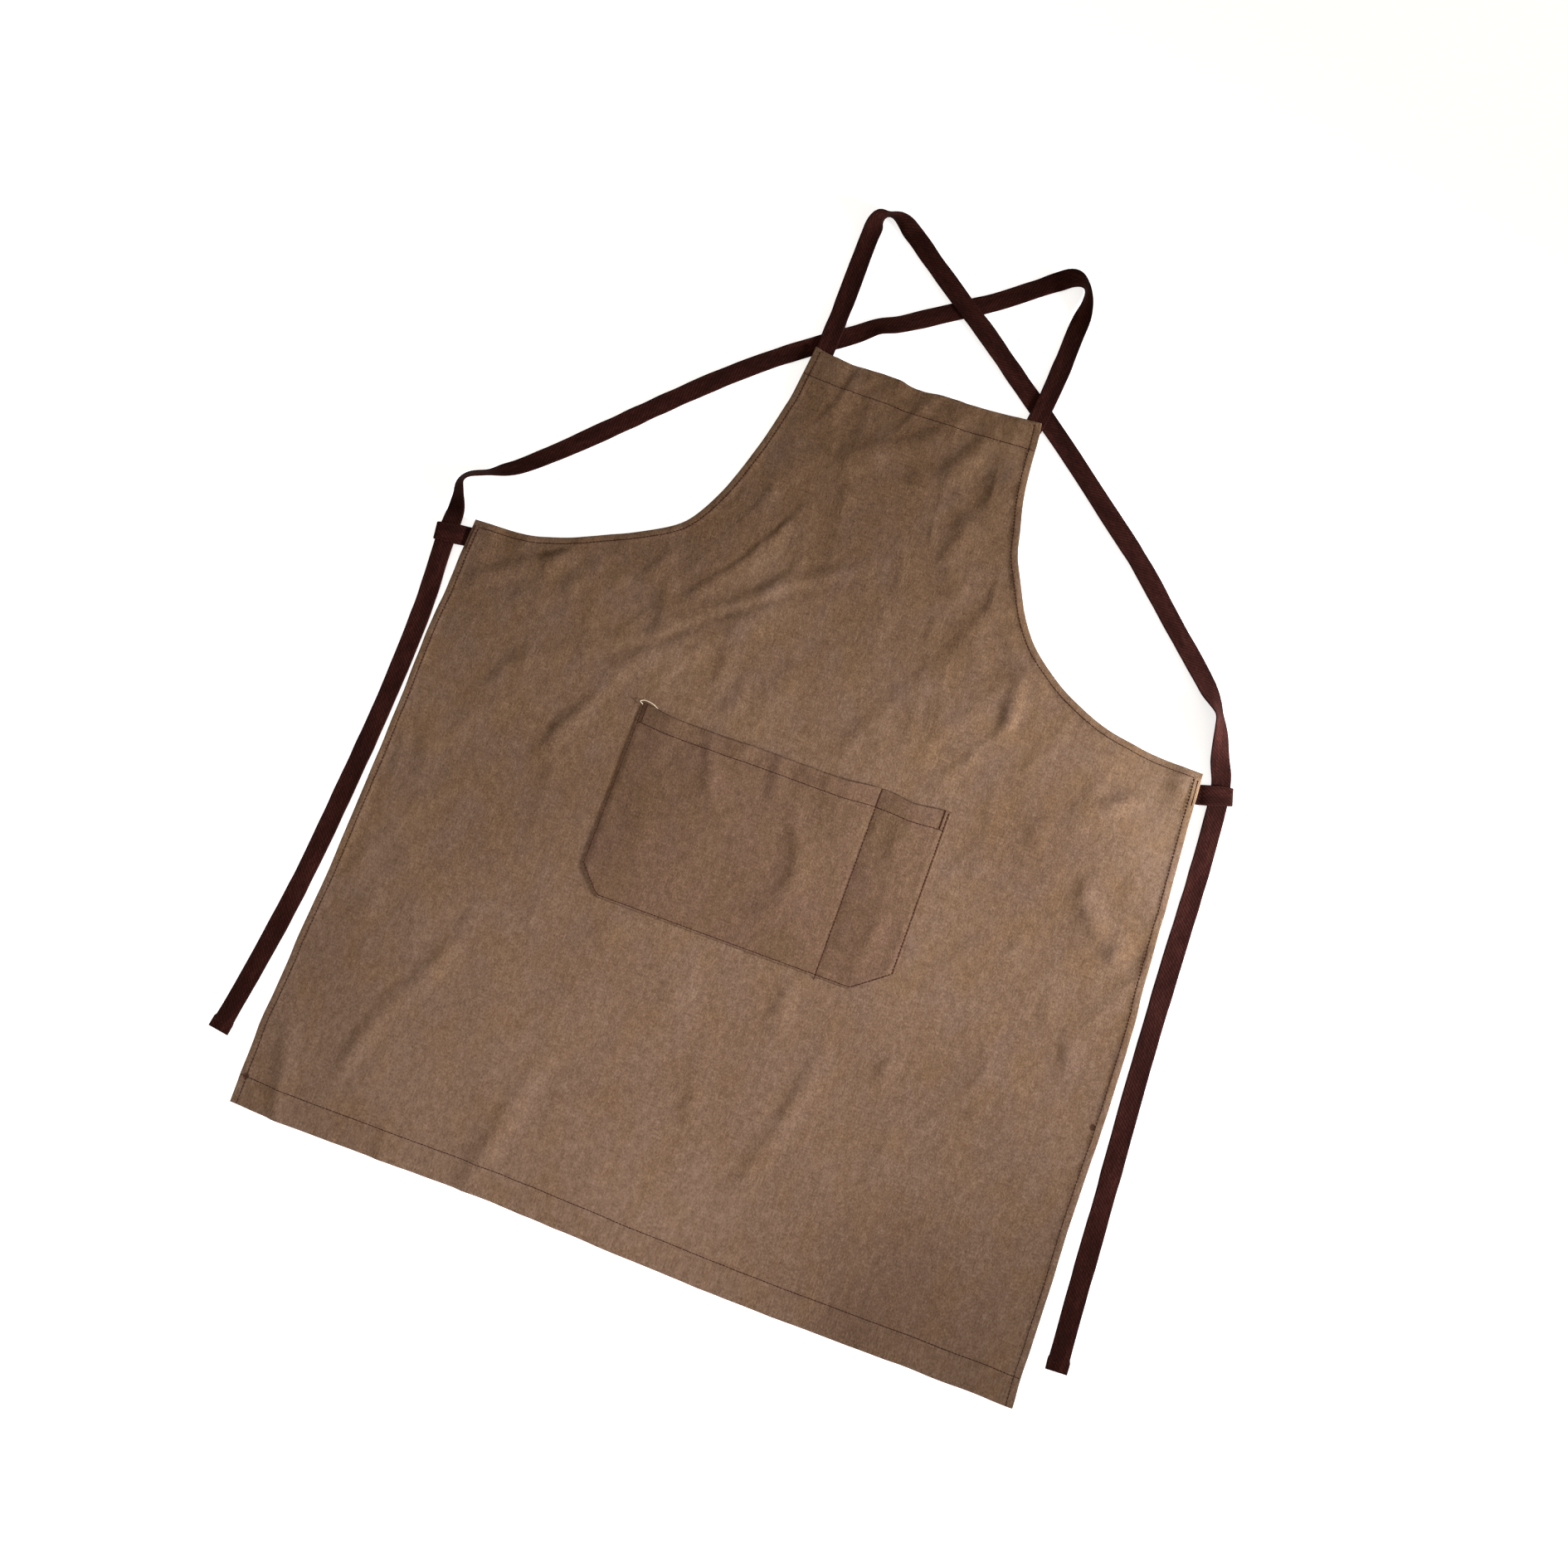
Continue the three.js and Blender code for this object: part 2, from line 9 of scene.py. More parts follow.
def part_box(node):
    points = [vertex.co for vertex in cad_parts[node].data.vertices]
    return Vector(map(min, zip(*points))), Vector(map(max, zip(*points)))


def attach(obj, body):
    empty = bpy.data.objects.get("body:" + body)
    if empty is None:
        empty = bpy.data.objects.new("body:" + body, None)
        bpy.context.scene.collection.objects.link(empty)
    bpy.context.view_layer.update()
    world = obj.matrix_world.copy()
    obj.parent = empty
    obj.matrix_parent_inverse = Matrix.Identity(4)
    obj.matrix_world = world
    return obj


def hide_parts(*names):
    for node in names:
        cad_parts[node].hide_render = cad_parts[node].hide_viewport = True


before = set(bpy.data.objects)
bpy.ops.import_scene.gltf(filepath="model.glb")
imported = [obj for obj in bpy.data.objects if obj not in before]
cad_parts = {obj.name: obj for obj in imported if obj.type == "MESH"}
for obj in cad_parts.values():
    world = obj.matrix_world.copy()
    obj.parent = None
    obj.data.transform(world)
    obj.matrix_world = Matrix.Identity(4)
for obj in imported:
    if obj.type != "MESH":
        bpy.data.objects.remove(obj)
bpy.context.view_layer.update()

# Lengths below are millimetres in the apron's own layout: x from its middle line, y up from the bottom hem.
MM = 0.001
SEED = 7


def named_rows(columns, rows):
    """A table whose rows have named columns, with 0 in the last ones where a row leaves them out."""
    row_type = namedtuple("Row", columns, defaults=(0, 0))
    return [row_type(*row) for row in rows]


# Waves along an edge or a tape: height, length of a wave and seed
Ripple = namedtuple("Ripple", "height length seed")

# Cloth and tape
CLOTH = 1.2
HEM_EXTRA = 0.3
TAPE_WIDTH = 17.8
TAPE_THICK = 1.5
LOOP_WIDTH = 18.0
LOOP_THICK = 1.1
LOOP_PINCH = 0.1
GAP = 0.4

# Hems, and where their stitches run, measured in from the cut edge
SIDE_HEM = 7.0
SIDE_STITCH = 6.2
BOTTOM_HEM = 26.0
BOTTOM_STITCH = 25.0
TOP_HEM = 29.0
TOP_STITCH = 28.0
HEM_STEP = 2.2
SIDE_HEM_EARLY = 0.2
EDGE_ROUND = 0.6
EDGE_LEAST = 0.3
GROOVE_DEPTH = 0.2
GROOVE_HALF = 0.8

# Panel outline
WAIST = 564.0
BIB_TOP = 824.0
TOP_REACH = 50.0
TOP_EDGE = named_rows("x dip", [
    (-111, 0), (-82, 4), (-60, 2.6), (-32, 3.4), (-2, 6.4), (30, 4), (60, 3), (84, 1.8), (110, 0),
])
BOTTOM_REACH = 120.0
BOTTOM_EDGE = named_rows("x dip", [
    (-360, 1), (-320, 2), (-160, 1.4), (-80, 1.2), (0, 4.2), (80, 6), (160, 5.8), (240, 5.2),
    (366, 5),
])
SIDE = named_rows("y left right", [
    (0, 359, 366), (70, 361.2, 365), (140, 359, 363.8), (220, 355.5, 364.3), (310, 353.8, 362.7),
    (400, 353.2, 358), (450, 353.6, 355), (500, 351.8, 352.2), (WAIST, 349.5, 348.5),
])
ARMHOLE = named_rows("y left right", [
    (565, 322, 321), (567, 295.5, 294.5), (571, 281, 273), (577, 264, 249.5), (584, 246.5, 231),
    (592, 229, 214), (602, 208.5, 198), (615, 184.5, 181.5), (628, 167.5, 168), (644, 156, 156.5),
    (667, 145, 144), (692, 136, 132.5), (720, 128, 124.5), (752, 121, 117), (780, 116, 113.8),
    (BIB_TOP, 111, 110),
])

# Panel grid: steps in from an edge, then an even pitch
EDGE_STEPS = [0, 0.3, 0.9, 1.8, 3.2, 4.6, 5.5, SIDE_STITCH, 6.9, 7.6, 8.4, 10.5]
BOTTOM_STEPS = [0, 0.3, 0.9, 1.8, 4, 8, 13, 18, 22, 24.2, BOTTOM_STITCH, 25.8, 26.6, 27.6, 30]
TOP_STEPS = [0, 0.3, 0.9, 1.8, 4, 8, 13, 18, 23, 26, 27.2, TOP_STITCH, 28.8, 29.6, 30.6, 33]
ROW_PITCH = 4.4
COLUMNS = 164
FAN_START = 470.0
FAN_LEVEL = 0.3
CORNER_REACH = 60.0
CORNER_CALM = (1, 8)
INNER_SIDE = 15.5
INNER_ROW = 60.0

# Creases of the laid cloth. Each follows the line where its steeper left side is in shade, from the top down,
# with its height and how far it takes to rise on the left and to fall away on the right.
CREASES = named_rows("height rise fall line", [
    (2.2, 11, 14, [(106, 836), (95, 790), (88, 752), (76, 725), (58, 702), (28, 688), (2, 677)]),
    (2.4, 11, 15, [(74, 836), (66, 806), (52, 778), (34, 752), (12, 732), (-8, 714)]),
    (2.5, 9, 16, [(36, 836), (26, 800), (10, 776), (-20, 760), (-46, 744), (-60, 728), (-63, 702)]),
    (1.7, 5, 12, [(-62, 716), (-68, 685), (-82, 655), (-102, 620), (-130, 580), (-155, 548), (-184, 512)]),
    (2.0, 5, 10, [(-64, 836), (-72, 800), (-80, 772), (-100, 740)]),
    (1.1, 5, 8, [(-25, 840), (-31, 790)]),
    (1.6, 6, 9, [(82, 718), (66, 685), (57, 652)]),
    (2.3, 10, 6.5, [
        (56, 677), (14, 655), (-24, 633), (-62, 607), (-110, 569), (-150, 535), (-190, 505), (-236, 474),
    ]),
    (2.1, 5, 20, [(-8, 624), (-45, 599), (-82, 568), (-112, 547), (-152, 508), (-182, 488), (-232, 456)]),
    (2.8, 6, 12, [(-232, 590), (-256, 570), (-292, 545), (-338, 514), (-368, 496)]),
    (1.1, 6, 10, [(-230, 560), (-265, 530), (-302, 500)]),
    (1.2, 5, 9, [(-160, 618), (-172, 598), (-186, 570), (-199, 544)]),
    (2.4, 10, 15, [(-212, 504), (-240, 483), (-264, 462), (-290, 426), (-304, 396), (-310, 360)]),
    (1.5, 6, 12, [(-170, 470), (-184, 450), (-202, 424), (-220, 386), (-233, 354)]),
    (0.9, 7, 12, [(-248, 338), (-284, 296)]),
    (0.9, 6, 12, [(-326, 410), (-322, 360), (-307, 310)]),
    (0.9, 7, 12, [(-328, 268), (-336, 222), (-313, 164)]),
    (2.6, 7, 9, [(-198, 294), (-214, 250), (-230, 204), (-246, 158), (-270, 114), (-284, 62), (-292, 26)]),
    (2.4, 5, 9, [(-260, 124), (-276, 84), (-285, 42)]),
    (4.2, 5, 9, [(-347, 98), (-332, 48), (-318, -12), (-306, -60)]),
    (3.0, 5, 8, [(-229, 60), (-221, -12), (-215, -70)]),
    (3.6, 5, 12, [(-117, 156), (-124, 110), (-131, 68), (-140, 24), (-143, -14), (-147, -80)]),
    (2.2, 5, 8, [(-83, 26), (-88, -12), (-92, -60)]),
    (2.5, 7, 10, [(112, 275), (104, 190), (92, 132), (72, 66), (57, 20)]),
    (1.5, 6, 10, [(66, 278), (60, 220)]),
    (1.4, 6, 10, [(-37, 238), (-29, 202)]),
    (1.9, 6, 12, [(-1, 190), (18, 138), (39, 90)]),
    (1.7, 6, 9, [(165, 242), (170, 188)]),
    (1.4, 3.5, 7, [(197, 195), (188, 165), (180, 118)]),
    (1.4, 3, 6, [(263, 238), (246, 202), (215, 169)]),
    (1.4, 6, 9, [(308, 75), (260, 51)]),
    (2.0, 7, 9, [(169, 616), (165, 580), (164, 548), (153, 518)]),
    (1.4, 6, 10, [(318, 533), (290, 520), (268, 508), (244, 491)]),
    (1.5, 8, 12, [(213, 488), (224, 456), (220, 430), (240, 410)]),
    (2.5, 7, 12, [(275, 455), (282, 420), (296, 402), (320, 384), (338, 362)]),
    (1.5, 6, 9, [(302, 308), (323, 270)]),
    (1.3, 4, 8, [(327, 192), (349, 148)]),
    (1.0, 6, 9, [(184, 442), (182, 390)]),
])
CREASE_PITCH = 7.0
CREST = 0.7
CREASE_EASE = 0.4
CREASE_REACH = 2.6

# Even, fine rumples of the washed canvas: feature length along and across, height, heading, and whether they
# fold to sharp little ridges
RUMPLES = named_rows("along across height heading sharp", [
    (150, 70, 0.6, 66, False),
    (64, 30, 0.85, 62, True),
    (46, 22, 0.55, 96, True),
    (28, 15, 0.42, 78, False),
    (17, 12, 0.2, 40, False),
])
RUMPLE_REST = 0.45
RIDGE_TOP, RIDGE_SLOPE, RIDGE_ROUND = 0.5, 2.0, 0.004
SETTLE = 0.15
PUCKER_CELL = 8.0
PUCKER_HEIGHT = 0.28
PUCKER_SEED = 50
EDGE_WAVE_CELL = 26.0
EDGE_WAVE = 0.6
EDGE_WAVE_SEEDS = {"left": 44, "right": 45}
TOP_RIPPLE = Ripple(0.8, 14, 61)
BOTTOM_RIPPLE = Ripple(0.6, 30, 62)

# Bands along the hems where the cloth puckers: middle, in from the edge, and half width
SIDE_PUCKER = (5, 4)
HEM_PUCKER = (20, 12)

# Where the panel is held up by tapes sewn behind it
TAPE_STACK = TAPE_THICK + GAP
BIB_LIFT = TAPE_STACK + TAPE_THICK + GAP
WAIST_LIFT = 2 * LOOP_THICK + 2 * GAP
PROPS = named_rows("x y half_x half_y soft height", [
    (-102, 811, 13, 20, 24, BIB_LIFT),
    (106, 811, 15, 20, 24, BIB_LIFT),
    (-349, 548, 13, 18, 20, WAIST_LIFT),
    (348, 546, 13, 18, 20, WAIST_LIFT),
])

# Spots on the cloth: broad painted shade and painted light, darker or paler where the light fell, and a few
# small marks of the cloth's own, two dark thread knots and a pale sewn corner
PAINTED_LIGHT_AND_MARK_SPOTS = named_rows("x y reach share", [
    (-330, 560, 140, -0.16), (-170, 612, 110, -0.15), (0, 570, 160, -0.09), (240, 448, 100, -0.1),
    (340, 500, 120, 0.12), (-190, 370, 150, -0.08), (88, 795, 60, 0.2), (-80, 600, 60, 0.12),
    (-190, 50, 160, 0.05), (40, 40, 120, 0.07), (240, 60, 110, -0.06), (224, 12, 50, -0.1),
    (70, 730, 80, 0.03), (345, 549, 12, 0.4), (355.5, 239, 3.2, -1.2), (-354.5, 25.5, 3.2, -1.2),
])

# Pocket
POCKET_LEFT, POCKET_RIGHT, POCKET_BOTTOM, POCKET_TOP = -144.0, 151.0, 278.0, 456.0
CUT_LEFT, CUT_RIGHT, CUT_HEIGHT = 23.0, 33.0, 25.0
POCKET_HEM = 19.0
POCKET_HEM_STITCH = 18.2
POCKET_DIVIDER = 86.0
DIVIDER_STEPS = [-1.6, -0.8, 0, 0.8, 1.6]
DIVIDER_CLEAR = 2.4
POCKET_SAG = 4.0
POCKET_MARGIN = 14.0
POCKET_BULGE = 1.0
POCKET_MOUTH = 1.7
MOUTH_RIPPLE = Ripple(0.6, 24, 71)
SAG_RIPPLE = Ripple(0.9, 28, 74)
POCKET_STITCH = 2.0
POCKET_TURN = 8.0
POCKET_TURN_STEP = 0.6
POCKET_CLOTH = 0.6
POCKET_TURN_EXTRA = 0.1
POCKET_CLEAR = 0.08
POCKET_PITCH = 3.2
POCKET_ROWS = 44
SEAM_PRESS = 0.9
DIVIDER_PRESS = 1.1
STITCH_REACH = 36.0
ROUGH_REACH = 8.0
POCKET_ROUGH = named_rows("height cell_x cell_y seed", [(0.4, 17, 21, 72), (0.16, 8, 9, 73)])
POCKET_TACK = 5.5
DIVIDER_OVERRUN = 2.6
POCKET_STEPS = [0, 0.3, 0.8, 1.4, POCKET_STITCH, 2.6, 3.4, POCKET_TACK, 7.4, 8.6]
POCKET_TOP_STEPS = [0, 0.3, 0.9, 2, 5, 9, 13, 16.5, POCKET_HEM_STITCH, POCKET_HEM, 19.8, 21]
POCKET_CREASES = named_rows("height rise fall line", [
    (2.0, 8, 13, [(-3, 424), (10, 402), (26, 384), (33, 352), (22, 326), (3, 296)]),
    (1.6, 6, 10, [(-81, 468), (-74, 430), (-64, 402), (-51, 370)]),
    (1.5, 5, 9, [(-15, 468), (-10, 430), (-5, 406)]),
    (0.9, 5, 8, [(104, 434), (106, 392)]),
    (0.9, 5, 8, [(123, 362), (113, 298)]),
    (0.9, 6, 8, [(-127, 334), (-121, 294)]),
    (1.0, 4, 7, [(-46, 462), (-42, 436)]),
    (0.9, 4, 7, [(34, 458), (38, 430)]),
    (0.5, 1.6, 3.5, [(69, 432), (69, 388)]),
])

# Tape routes: middle of the tape, height of its lower edge, tilt about its own run in degrees
OVER = TAPE_STACK
IN_LOOP = LOOP_THICK + GAP
LEFT_STRAP = named_rows("x y lift bank", [
    (-102, 798, OVER), (-102, 824, OVER), (-101.2, 852, OVER), (-101.2, 886), (-101.4, 924),
    (-101, 947, 0, -5), (-99.9, 956, 0, -20), (-97, 963, 0, -62), (-90.6, 967.6, 0, -116),
    (-80.2, 967, 0, -74), (-64.2, 960.5, 0, -10), (-36.7, 940.5, 0.4), (-8.8, 919.5, 1.8), (8.2, 907, OVER),
    (30.2, 891.7, 1.7), (80.2, 853.7), (137.2, 809.9), (194.2, 763.3), (236.2, 728.6), (286, 681),
    (311, 657.5, 0, 3), (331.5, 636.5, 0, 14), (345, 619, 0, 62), (350.5, 607, 0, 42), (358.5, 582, 0.8, 8),
    (365.6, 564, IN_LOOP), (368.8, 545, IN_LOOP), (370.5, 522, IN_LOOP), (372.9, 480), (375.2, 390),
    (378.7, 290), (383.8, 190), (388, 95), (391.2, 36),
])
RIGHT_STRAP = named_rows("x y lift bank", [
    (100, 800, OVER), (104, 822, OVER), (107.2, 848, OVER), (109.7, 886), (110.6, 914, 0, 8),
    (111.6, 934, 0, 26), (110.4, 949, 0, 66), (104.5, 962.5, 0, 96), (92, 965, 0, 44), (80, 959.5, 0, 10),
    (63.3, 947), (33.3, 923.5), (8.2, 906.7), (-25.7, 884.6), (-47.7, 870.1, 0, -11),
    (-62.7, 863.1, 0, -13), (-79.7, 850.1), (-136.7, 808.2), (-180.7, 770.6), (-222.7, 730.1),
    (-264.7, 687.6), (-302.7, 649.7, 0, -4), (-330.8, 623.8, 0, -22), (-342, 616.3, 0, -32),
    (-354, 609, 0, -55), (-371.3, 600.3, 0, -57), (-375.6, 592.6, 0, -55), (-373, 581, 0.2, -47),
    (-370, 567, 1.2, -16), (-370.2, 558.5, IN_LOOP), (-370, 541, IN_LOOP), (-368.8, 522, IN_LOOP),
    (-365.7, 475), (-365.5, 390), (-369.1, 300), (-375.2, 200), (-384.8, 115), (-393.8, 53),
])
TAPE_PITCH = 2.4
TAPE_SHARES = [-1, -0.975, -0.92, -0.84, -0.78, -0.5, 0, 0.5, 0.78, 0.84, 0.92, 0.975, 1]
TAPE_BODY = [0.3, 0.7, 0.95, 1, 0.9, 0.88, 0.86, 0.88, 0.9, 1, 0.95, 0.7, 0.3]
END_FOLD = 11.0
END_FOLD_EASE = 0.6
END_EXTRA_WIDTH = 1.6
END_EXTRA_THICK = 0.9
END_STITCH = 2.5
CARRY_SMOOTH = 4.5
BANK_RIPPLE = Ripple(1.5, 30, 0)
WIDTH_RIPPLE = Ripple(0.03, 16, 1)
FACE_RIPPLE = Ripple(0.12, 9, 2)

# Loops, seen end on: distance out from the panel edge and height of the middle of the tape
LOOP_FLOOR = LOOP_THICK / 2
LOOP_TOP = LOOP_THICK + 2 * GAP + TAPE_THICK + LOOP_THICK / 2
LOOP_SEWN = LOOP_THICK * 1.5 + GAP
LOOP_OUT = 31.6
LOOP_PITCH = 0.7
PINCH_START = 20.0
LOOP_PROFILE = named_rows("out z", [
    (-SIDE_HEM, LOOP_FLOOR), (12, LOOP_FLOOR), (27, LOOP_FLOOR), (30.2, LOOP_FLOOR + 0.4),
    (LOOP_OUT, (LOOP_FLOOR + LOOP_TOP) / 2), (30.2, LOOP_TOP - 0.4), (27, LOOP_TOP), (12, LOOP_TOP),
    (7, LOOP_TOP - 0.6), (2.5, LOOP_SEWN + 0.2), (-1, LOOP_SEWN), (-SIDE_HEM, LOOP_SEWN),
])
LoopPlace = namedtuple("LoopPlace", "x y toward turn")
LOOPS = {"left": LoopPlace(-350, 547, -1, 8), "right": LoopPlace(349, 545, 1, 15)}

# Weave: pitch of the canvas's yarns and the tape's slanted ribs. Painted shade: how much darker the bib is
# painted, and how dark and how wide a painted shade line along a fold is
YARN = 0.9
TWILL = 1.7
BIB_PAINTED_SHADE = -0.12
FOLD_PAINTED_SHADE = -0.3
FOLD_PAINTED_SHADE_WIDTH = 1.4

# Blender's own: a wave texture's scale for one band to a unit, and a mix node's two values and result
ONE_BAND = 2 * math.pi / 20
MIX_SOCKETS = {"FLOAT": (2, 3, 0), "RGBA": (6, 7, 2)}

# Thread
THREAD_RADIUS = 0.36
STITCH_PITCH = 3.1
STITCH_LENGTH = 2.95
STITCH_JITTER = 0.15
STITCH_SHAPE = named_rows("share dip swell", [
    (0, -0.22, 0.7), (0.22, 0.16, 1), (0.5, 0.22, 1), (0.78, 0.16, 1), (1, -0.22, 0.7),
])
TACK_PITCH = 1.5
TACK_INSET = 2.8
TACK_OVERRUN = 3.0
TACK_POINTS = 12
THREAD_SIDES = 6
THREAD_SEED = 100

# Loose thread at the pocket's upper left corner, from its root, and the place on the pocket that it lies on
TAIL_RADIUS = 0.42
TAIL_PITCH = 0.6
TAIL_ROOT = (POCKET_LEFT + 1, POCKET_TOP)
TAIL_BED = (POCKET_LEFT + 4, POCKET_TOP - 1)
TAIL = [(0, -1.5, 0.1), (-3, 0.6, 0.5), (-0.5, 2.2, 0.9), (5, 2.4, 0.7), (10, 1.2, 0.5), (15, -1.4, 0.2)]

# Camera, read from the photo's perspective of the hem, waist, bib and pocket corners
CAMERA_ELEVATION = 81.5
CAMERA_AZIMUTH = 32.57
CAMERA_ROLL = -12.58
CAMERA_AIM = (1.66, 429.9)
CAMERA_DISTANCE = 1485.3
CAMERA_FOCAL_PIXELS = 2000.0
PHOTO_PIXELS = 1890.0
SENSOR = 36.0

# Soft studio light, brighter from the viewer's right. A lamp's diameter is in metres, its spread in degrees.
LAMPS = named_rows("name place target diameter power spread colour", [
    ("key", (1946, 511, 567), (400, 517, 0), 0.45, 5.5, 35, (0.95, 1.0, 1.07)),
    ("top", (-18, -19, 990), (-18, -19, 0), 0.6, 1.18, 62.5, (0.98, 1.0, 1.03)),
])
WORLD_STRENGTH = 0.38
WORLD_COLOUR = (1.0, 0.91, 0.8, 1)
FLOOR_GLOW = 0.7
FLOOR_HALF = 6.0
FLOOR_DROP = 0.0006

panel_low, panel_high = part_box("panel")
SHIFT = np.array([
    panel_low.x + max(row.left for row in SIDE) * MM,
    panel_high.y - BIB_TOP * MM,
    0.0,
])


def to_frame(points):
    """Millimetres in the apron's layout to metres in the shared frame."""
    return np.asarray(points, float) * MM + SHIFT


def smoothstep(value, low, high):
    share = np.clip((value - low) / (high - low), 0, 1)
    return share * share * (3 - 2 * share)


def noise(x, y, seed):
    """Smooth seeded noise from -1 to 1 whose features are about one unit wide."""
    size = 128
    lattice = np.random.default_rng(SEED + seed).uniform(-1, 1, (size, size))
    i = np.floor(x).astype(int)
    j = np.floor(y).astype(int)
    u = x - i
    v = y - j
    u = u * u * u * (u * (6 * u - 15) + 10)
    v = v * v * v * (v * (6 * v - 15) + 10)
    near = lattice[i % size, j % size] * (1 - u) + lattice[(i + 1) % size, j % size] * u
    far = lattice[i % size, (j + 1) % size] * (1 - u) + lattice[(i + 1) % size, (j + 1) % size] * u
    return near * (1 - v) + far * v


def ripple(places, wave, seed=0):
    return wave.height * noise(places / wave.length, places * 0, wave.seed + seed)


def bell(distance, at, half):
    return np.exp(-((distance - at) / half) ** 2)


def distances(path):
    """How far along a path each of its points lies."""
    return np.concatenate([[0], np.cumsum(np.linalg.norm(np.diff(path, axis=0), axis=1))])


def sample(path, places, at):
    """Points of a path at some places along it."""
    return np.stack([np.interp(at, places, path[:, k]) for k in range(path.shape[1])], 1)


def unit(vectors):
    return vectors / np.linalg.norm(vectors, axis=1)[:, None]


def headings(path):
    """The direction of a path at each of its points."""
    return unit(np.gradient(path, axis=0))


def rumple_at(x, y):
    height = np.zeros_like(x)
    for number, rumple in enumerate(RUMPLES):
        heading = math.radians(rumple.heading)
        along = x * math.cos(heading) + y * math.sin(heading)
        across = y * math.cos(heading) - x * math.sin(heading)
        wave = noise(along / rumple.along, across / rumple.across, number)
        if rumple.sharp:
            wave = RIDGE_TOP - RIDGE_SLOPE * np.sqrt(wave * wave + RIDGE_ROUND)
        height = height + rumple.height * wave
    return height


def beside_pocket(x, y):
    """One over and just around the pocket, falling to nothing outside it."""
    reach = 2 * POCKET_MARGIN
    out_y = np.maximum(POCKET_BOTTOM - y, y - POCKET_TOP)
    return (1 - smoothstep(-pocket_side(x), 0, reach)) * (1 - smoothstep(out_y, 0, reach))


def panel_lift(x, y):
    """Height of the panel's back off the floor."""
    raised = creases_at(CREASES, x, y)
    raised = (raised + rumple_at(x, y) + RUMPLE_REST) * (1 - beside_pocket(x, y))
    lift = SETTLE * np.logaddexp(0, raised / SETTLE)
    for prop in PROPS:
        near_x = 1 - smoothstep(np.abs(x - prop.x), prop.half_x, prop.half_x + prop.soft)
        near_y = 1 - smoothstep(np.abs(y - prop.y), prop.half_y, prop.half_y + prop.soft)
        lift = np.maximum(lift, prop.height * near_x * near_y + lift * (1 - near_x * near_y))
    return lift


def between(first, second, low, high, at):
    """On the straight way from one point, held at low, to another, held at high."""
    return (high - at) / (high - low) * first + (at - low) / (high - low) * second


def curve_through(points, pitch):
    """Centripetal curve through points, sampled evenly, with each point's place along it."""
    points = np.asarray(points, float)
    before = 2 * points[0] - points[1]
    after = 2 * points[-1] - points[-2]
    padded = np.vstack([before, points, after])
    dense = []
    marks = []
    steps = 40
    for i in range(len(points) - 1):
        p0, p1, p2, p3 = padded[i:i + 4]
        t0, t1, t2, t3 = np.cumsum([0, *np.linalg.norm(np.diff(padded[i:i + 4], axis=0), axis=1) ** 0.5])
        t = np.linspace(t1, t2, steps, endpoint=False)[:, None]
        a1 = between(p0, p1, t0, t1, t)
        a2 = between(p1, p2, t1, t2, t)
        a3 = between(p2, p3, t2, t3, t)
        b1 = between(a1, a2, t0, t2, t)
        b2 = between(a2, a3, t1, t3, t)
        marks.append(len(dense))
        dense.extend(between(b1, b2, t1, t2, t))
    marks.append(len(dense))
    dense.append(points[-1])
    dense = np.array(dense)
    travelled = distances(dense)
    count = max(2, int(round(travelled[-1] / pitch)))
    even = np.linspace(0, travelled[-1], count + 1)
    return sample(dense, travelled, even), even, travelled[marks]


def creases_at(table, x, y):
    """Height that a table of creases adds at each place."""
    x = np.atleast_1d(np.asarray(x, float))
    y = np.atleast_1d(np.asarray(y, float))
    height = np.zeros(x.shape)
    for crease in table:
        line, along, _ = curve_through(crease.line, CREASE_PITCH)
        reach = CREASE_REACH * max(crease.rise, crease.fall)
        low = line.min(0) - reach
        high = line.max(0) + reach
        near = (x > low[0]) & (x < high[0]) & (y > low[1]) & (y < high[1])
        if not near.any():
            continue
        px = x[near]
        py = y[near]
        closest = np.full(px.shape, np.inf)
        side = np.zeros(px.shape)
        place = np.zeros(px.shape)
        for i in range(len(line) - 1):
            step = line[i + 1] - line[i]
            share = ((px - line[i, 0]) * step[0] + (py - line[i, 1]) * step[1]) / (step @ step)
            share = np.clip(share, 0, 1)
            dx = px - line[i, 0] - share * step[0]
            dy = py - line[i, 1] - share * step[1]
            apart = dx * dx + dy * dy
            nearer = apart < closest
            closest = np.where(nearer, apart, closest)
            side = np.where(nearer, np.sign(step[0] * dy - step[1] * dx), side)
            place = np.where(nearer, along[i] + share * (along[i + 1] - along[i]), place)
        ease = CREASE_EASE * along[-1]
        fade = smoothstep(place, 0, ease) * smoothstep(along[-1] - place, 0, ease)
        across = np.sqrt(closest) * side - CREST * crease.rise
        half = np.where(across < 0, crease.rise, crease.fall)
        height[near] += crease.height * fade * np.exp(-(across / half) ** 2)
    return height


def add_object(name, data):
    thing = bpy.data.objects.new(name, data)
    bpy.context.scene.collection.objects.link(thing)
    return thing


def add_piece(name, verts, faces):
    """A smooth-shaded mesh from points in the apron's layout."""
    mesh = bpy.data.meshes.new(name)
    mesh.from_pydata(to_frame(verts).tolist(), [], faces)
    mesh.polygons.foreach_set("use_smooth", np.ones(len(faces), bool))
    mesh.update()
    return add_object(name, mesh)


def quads(*corners):
    return np.stack(corners, -1).reshape(-1, 4)


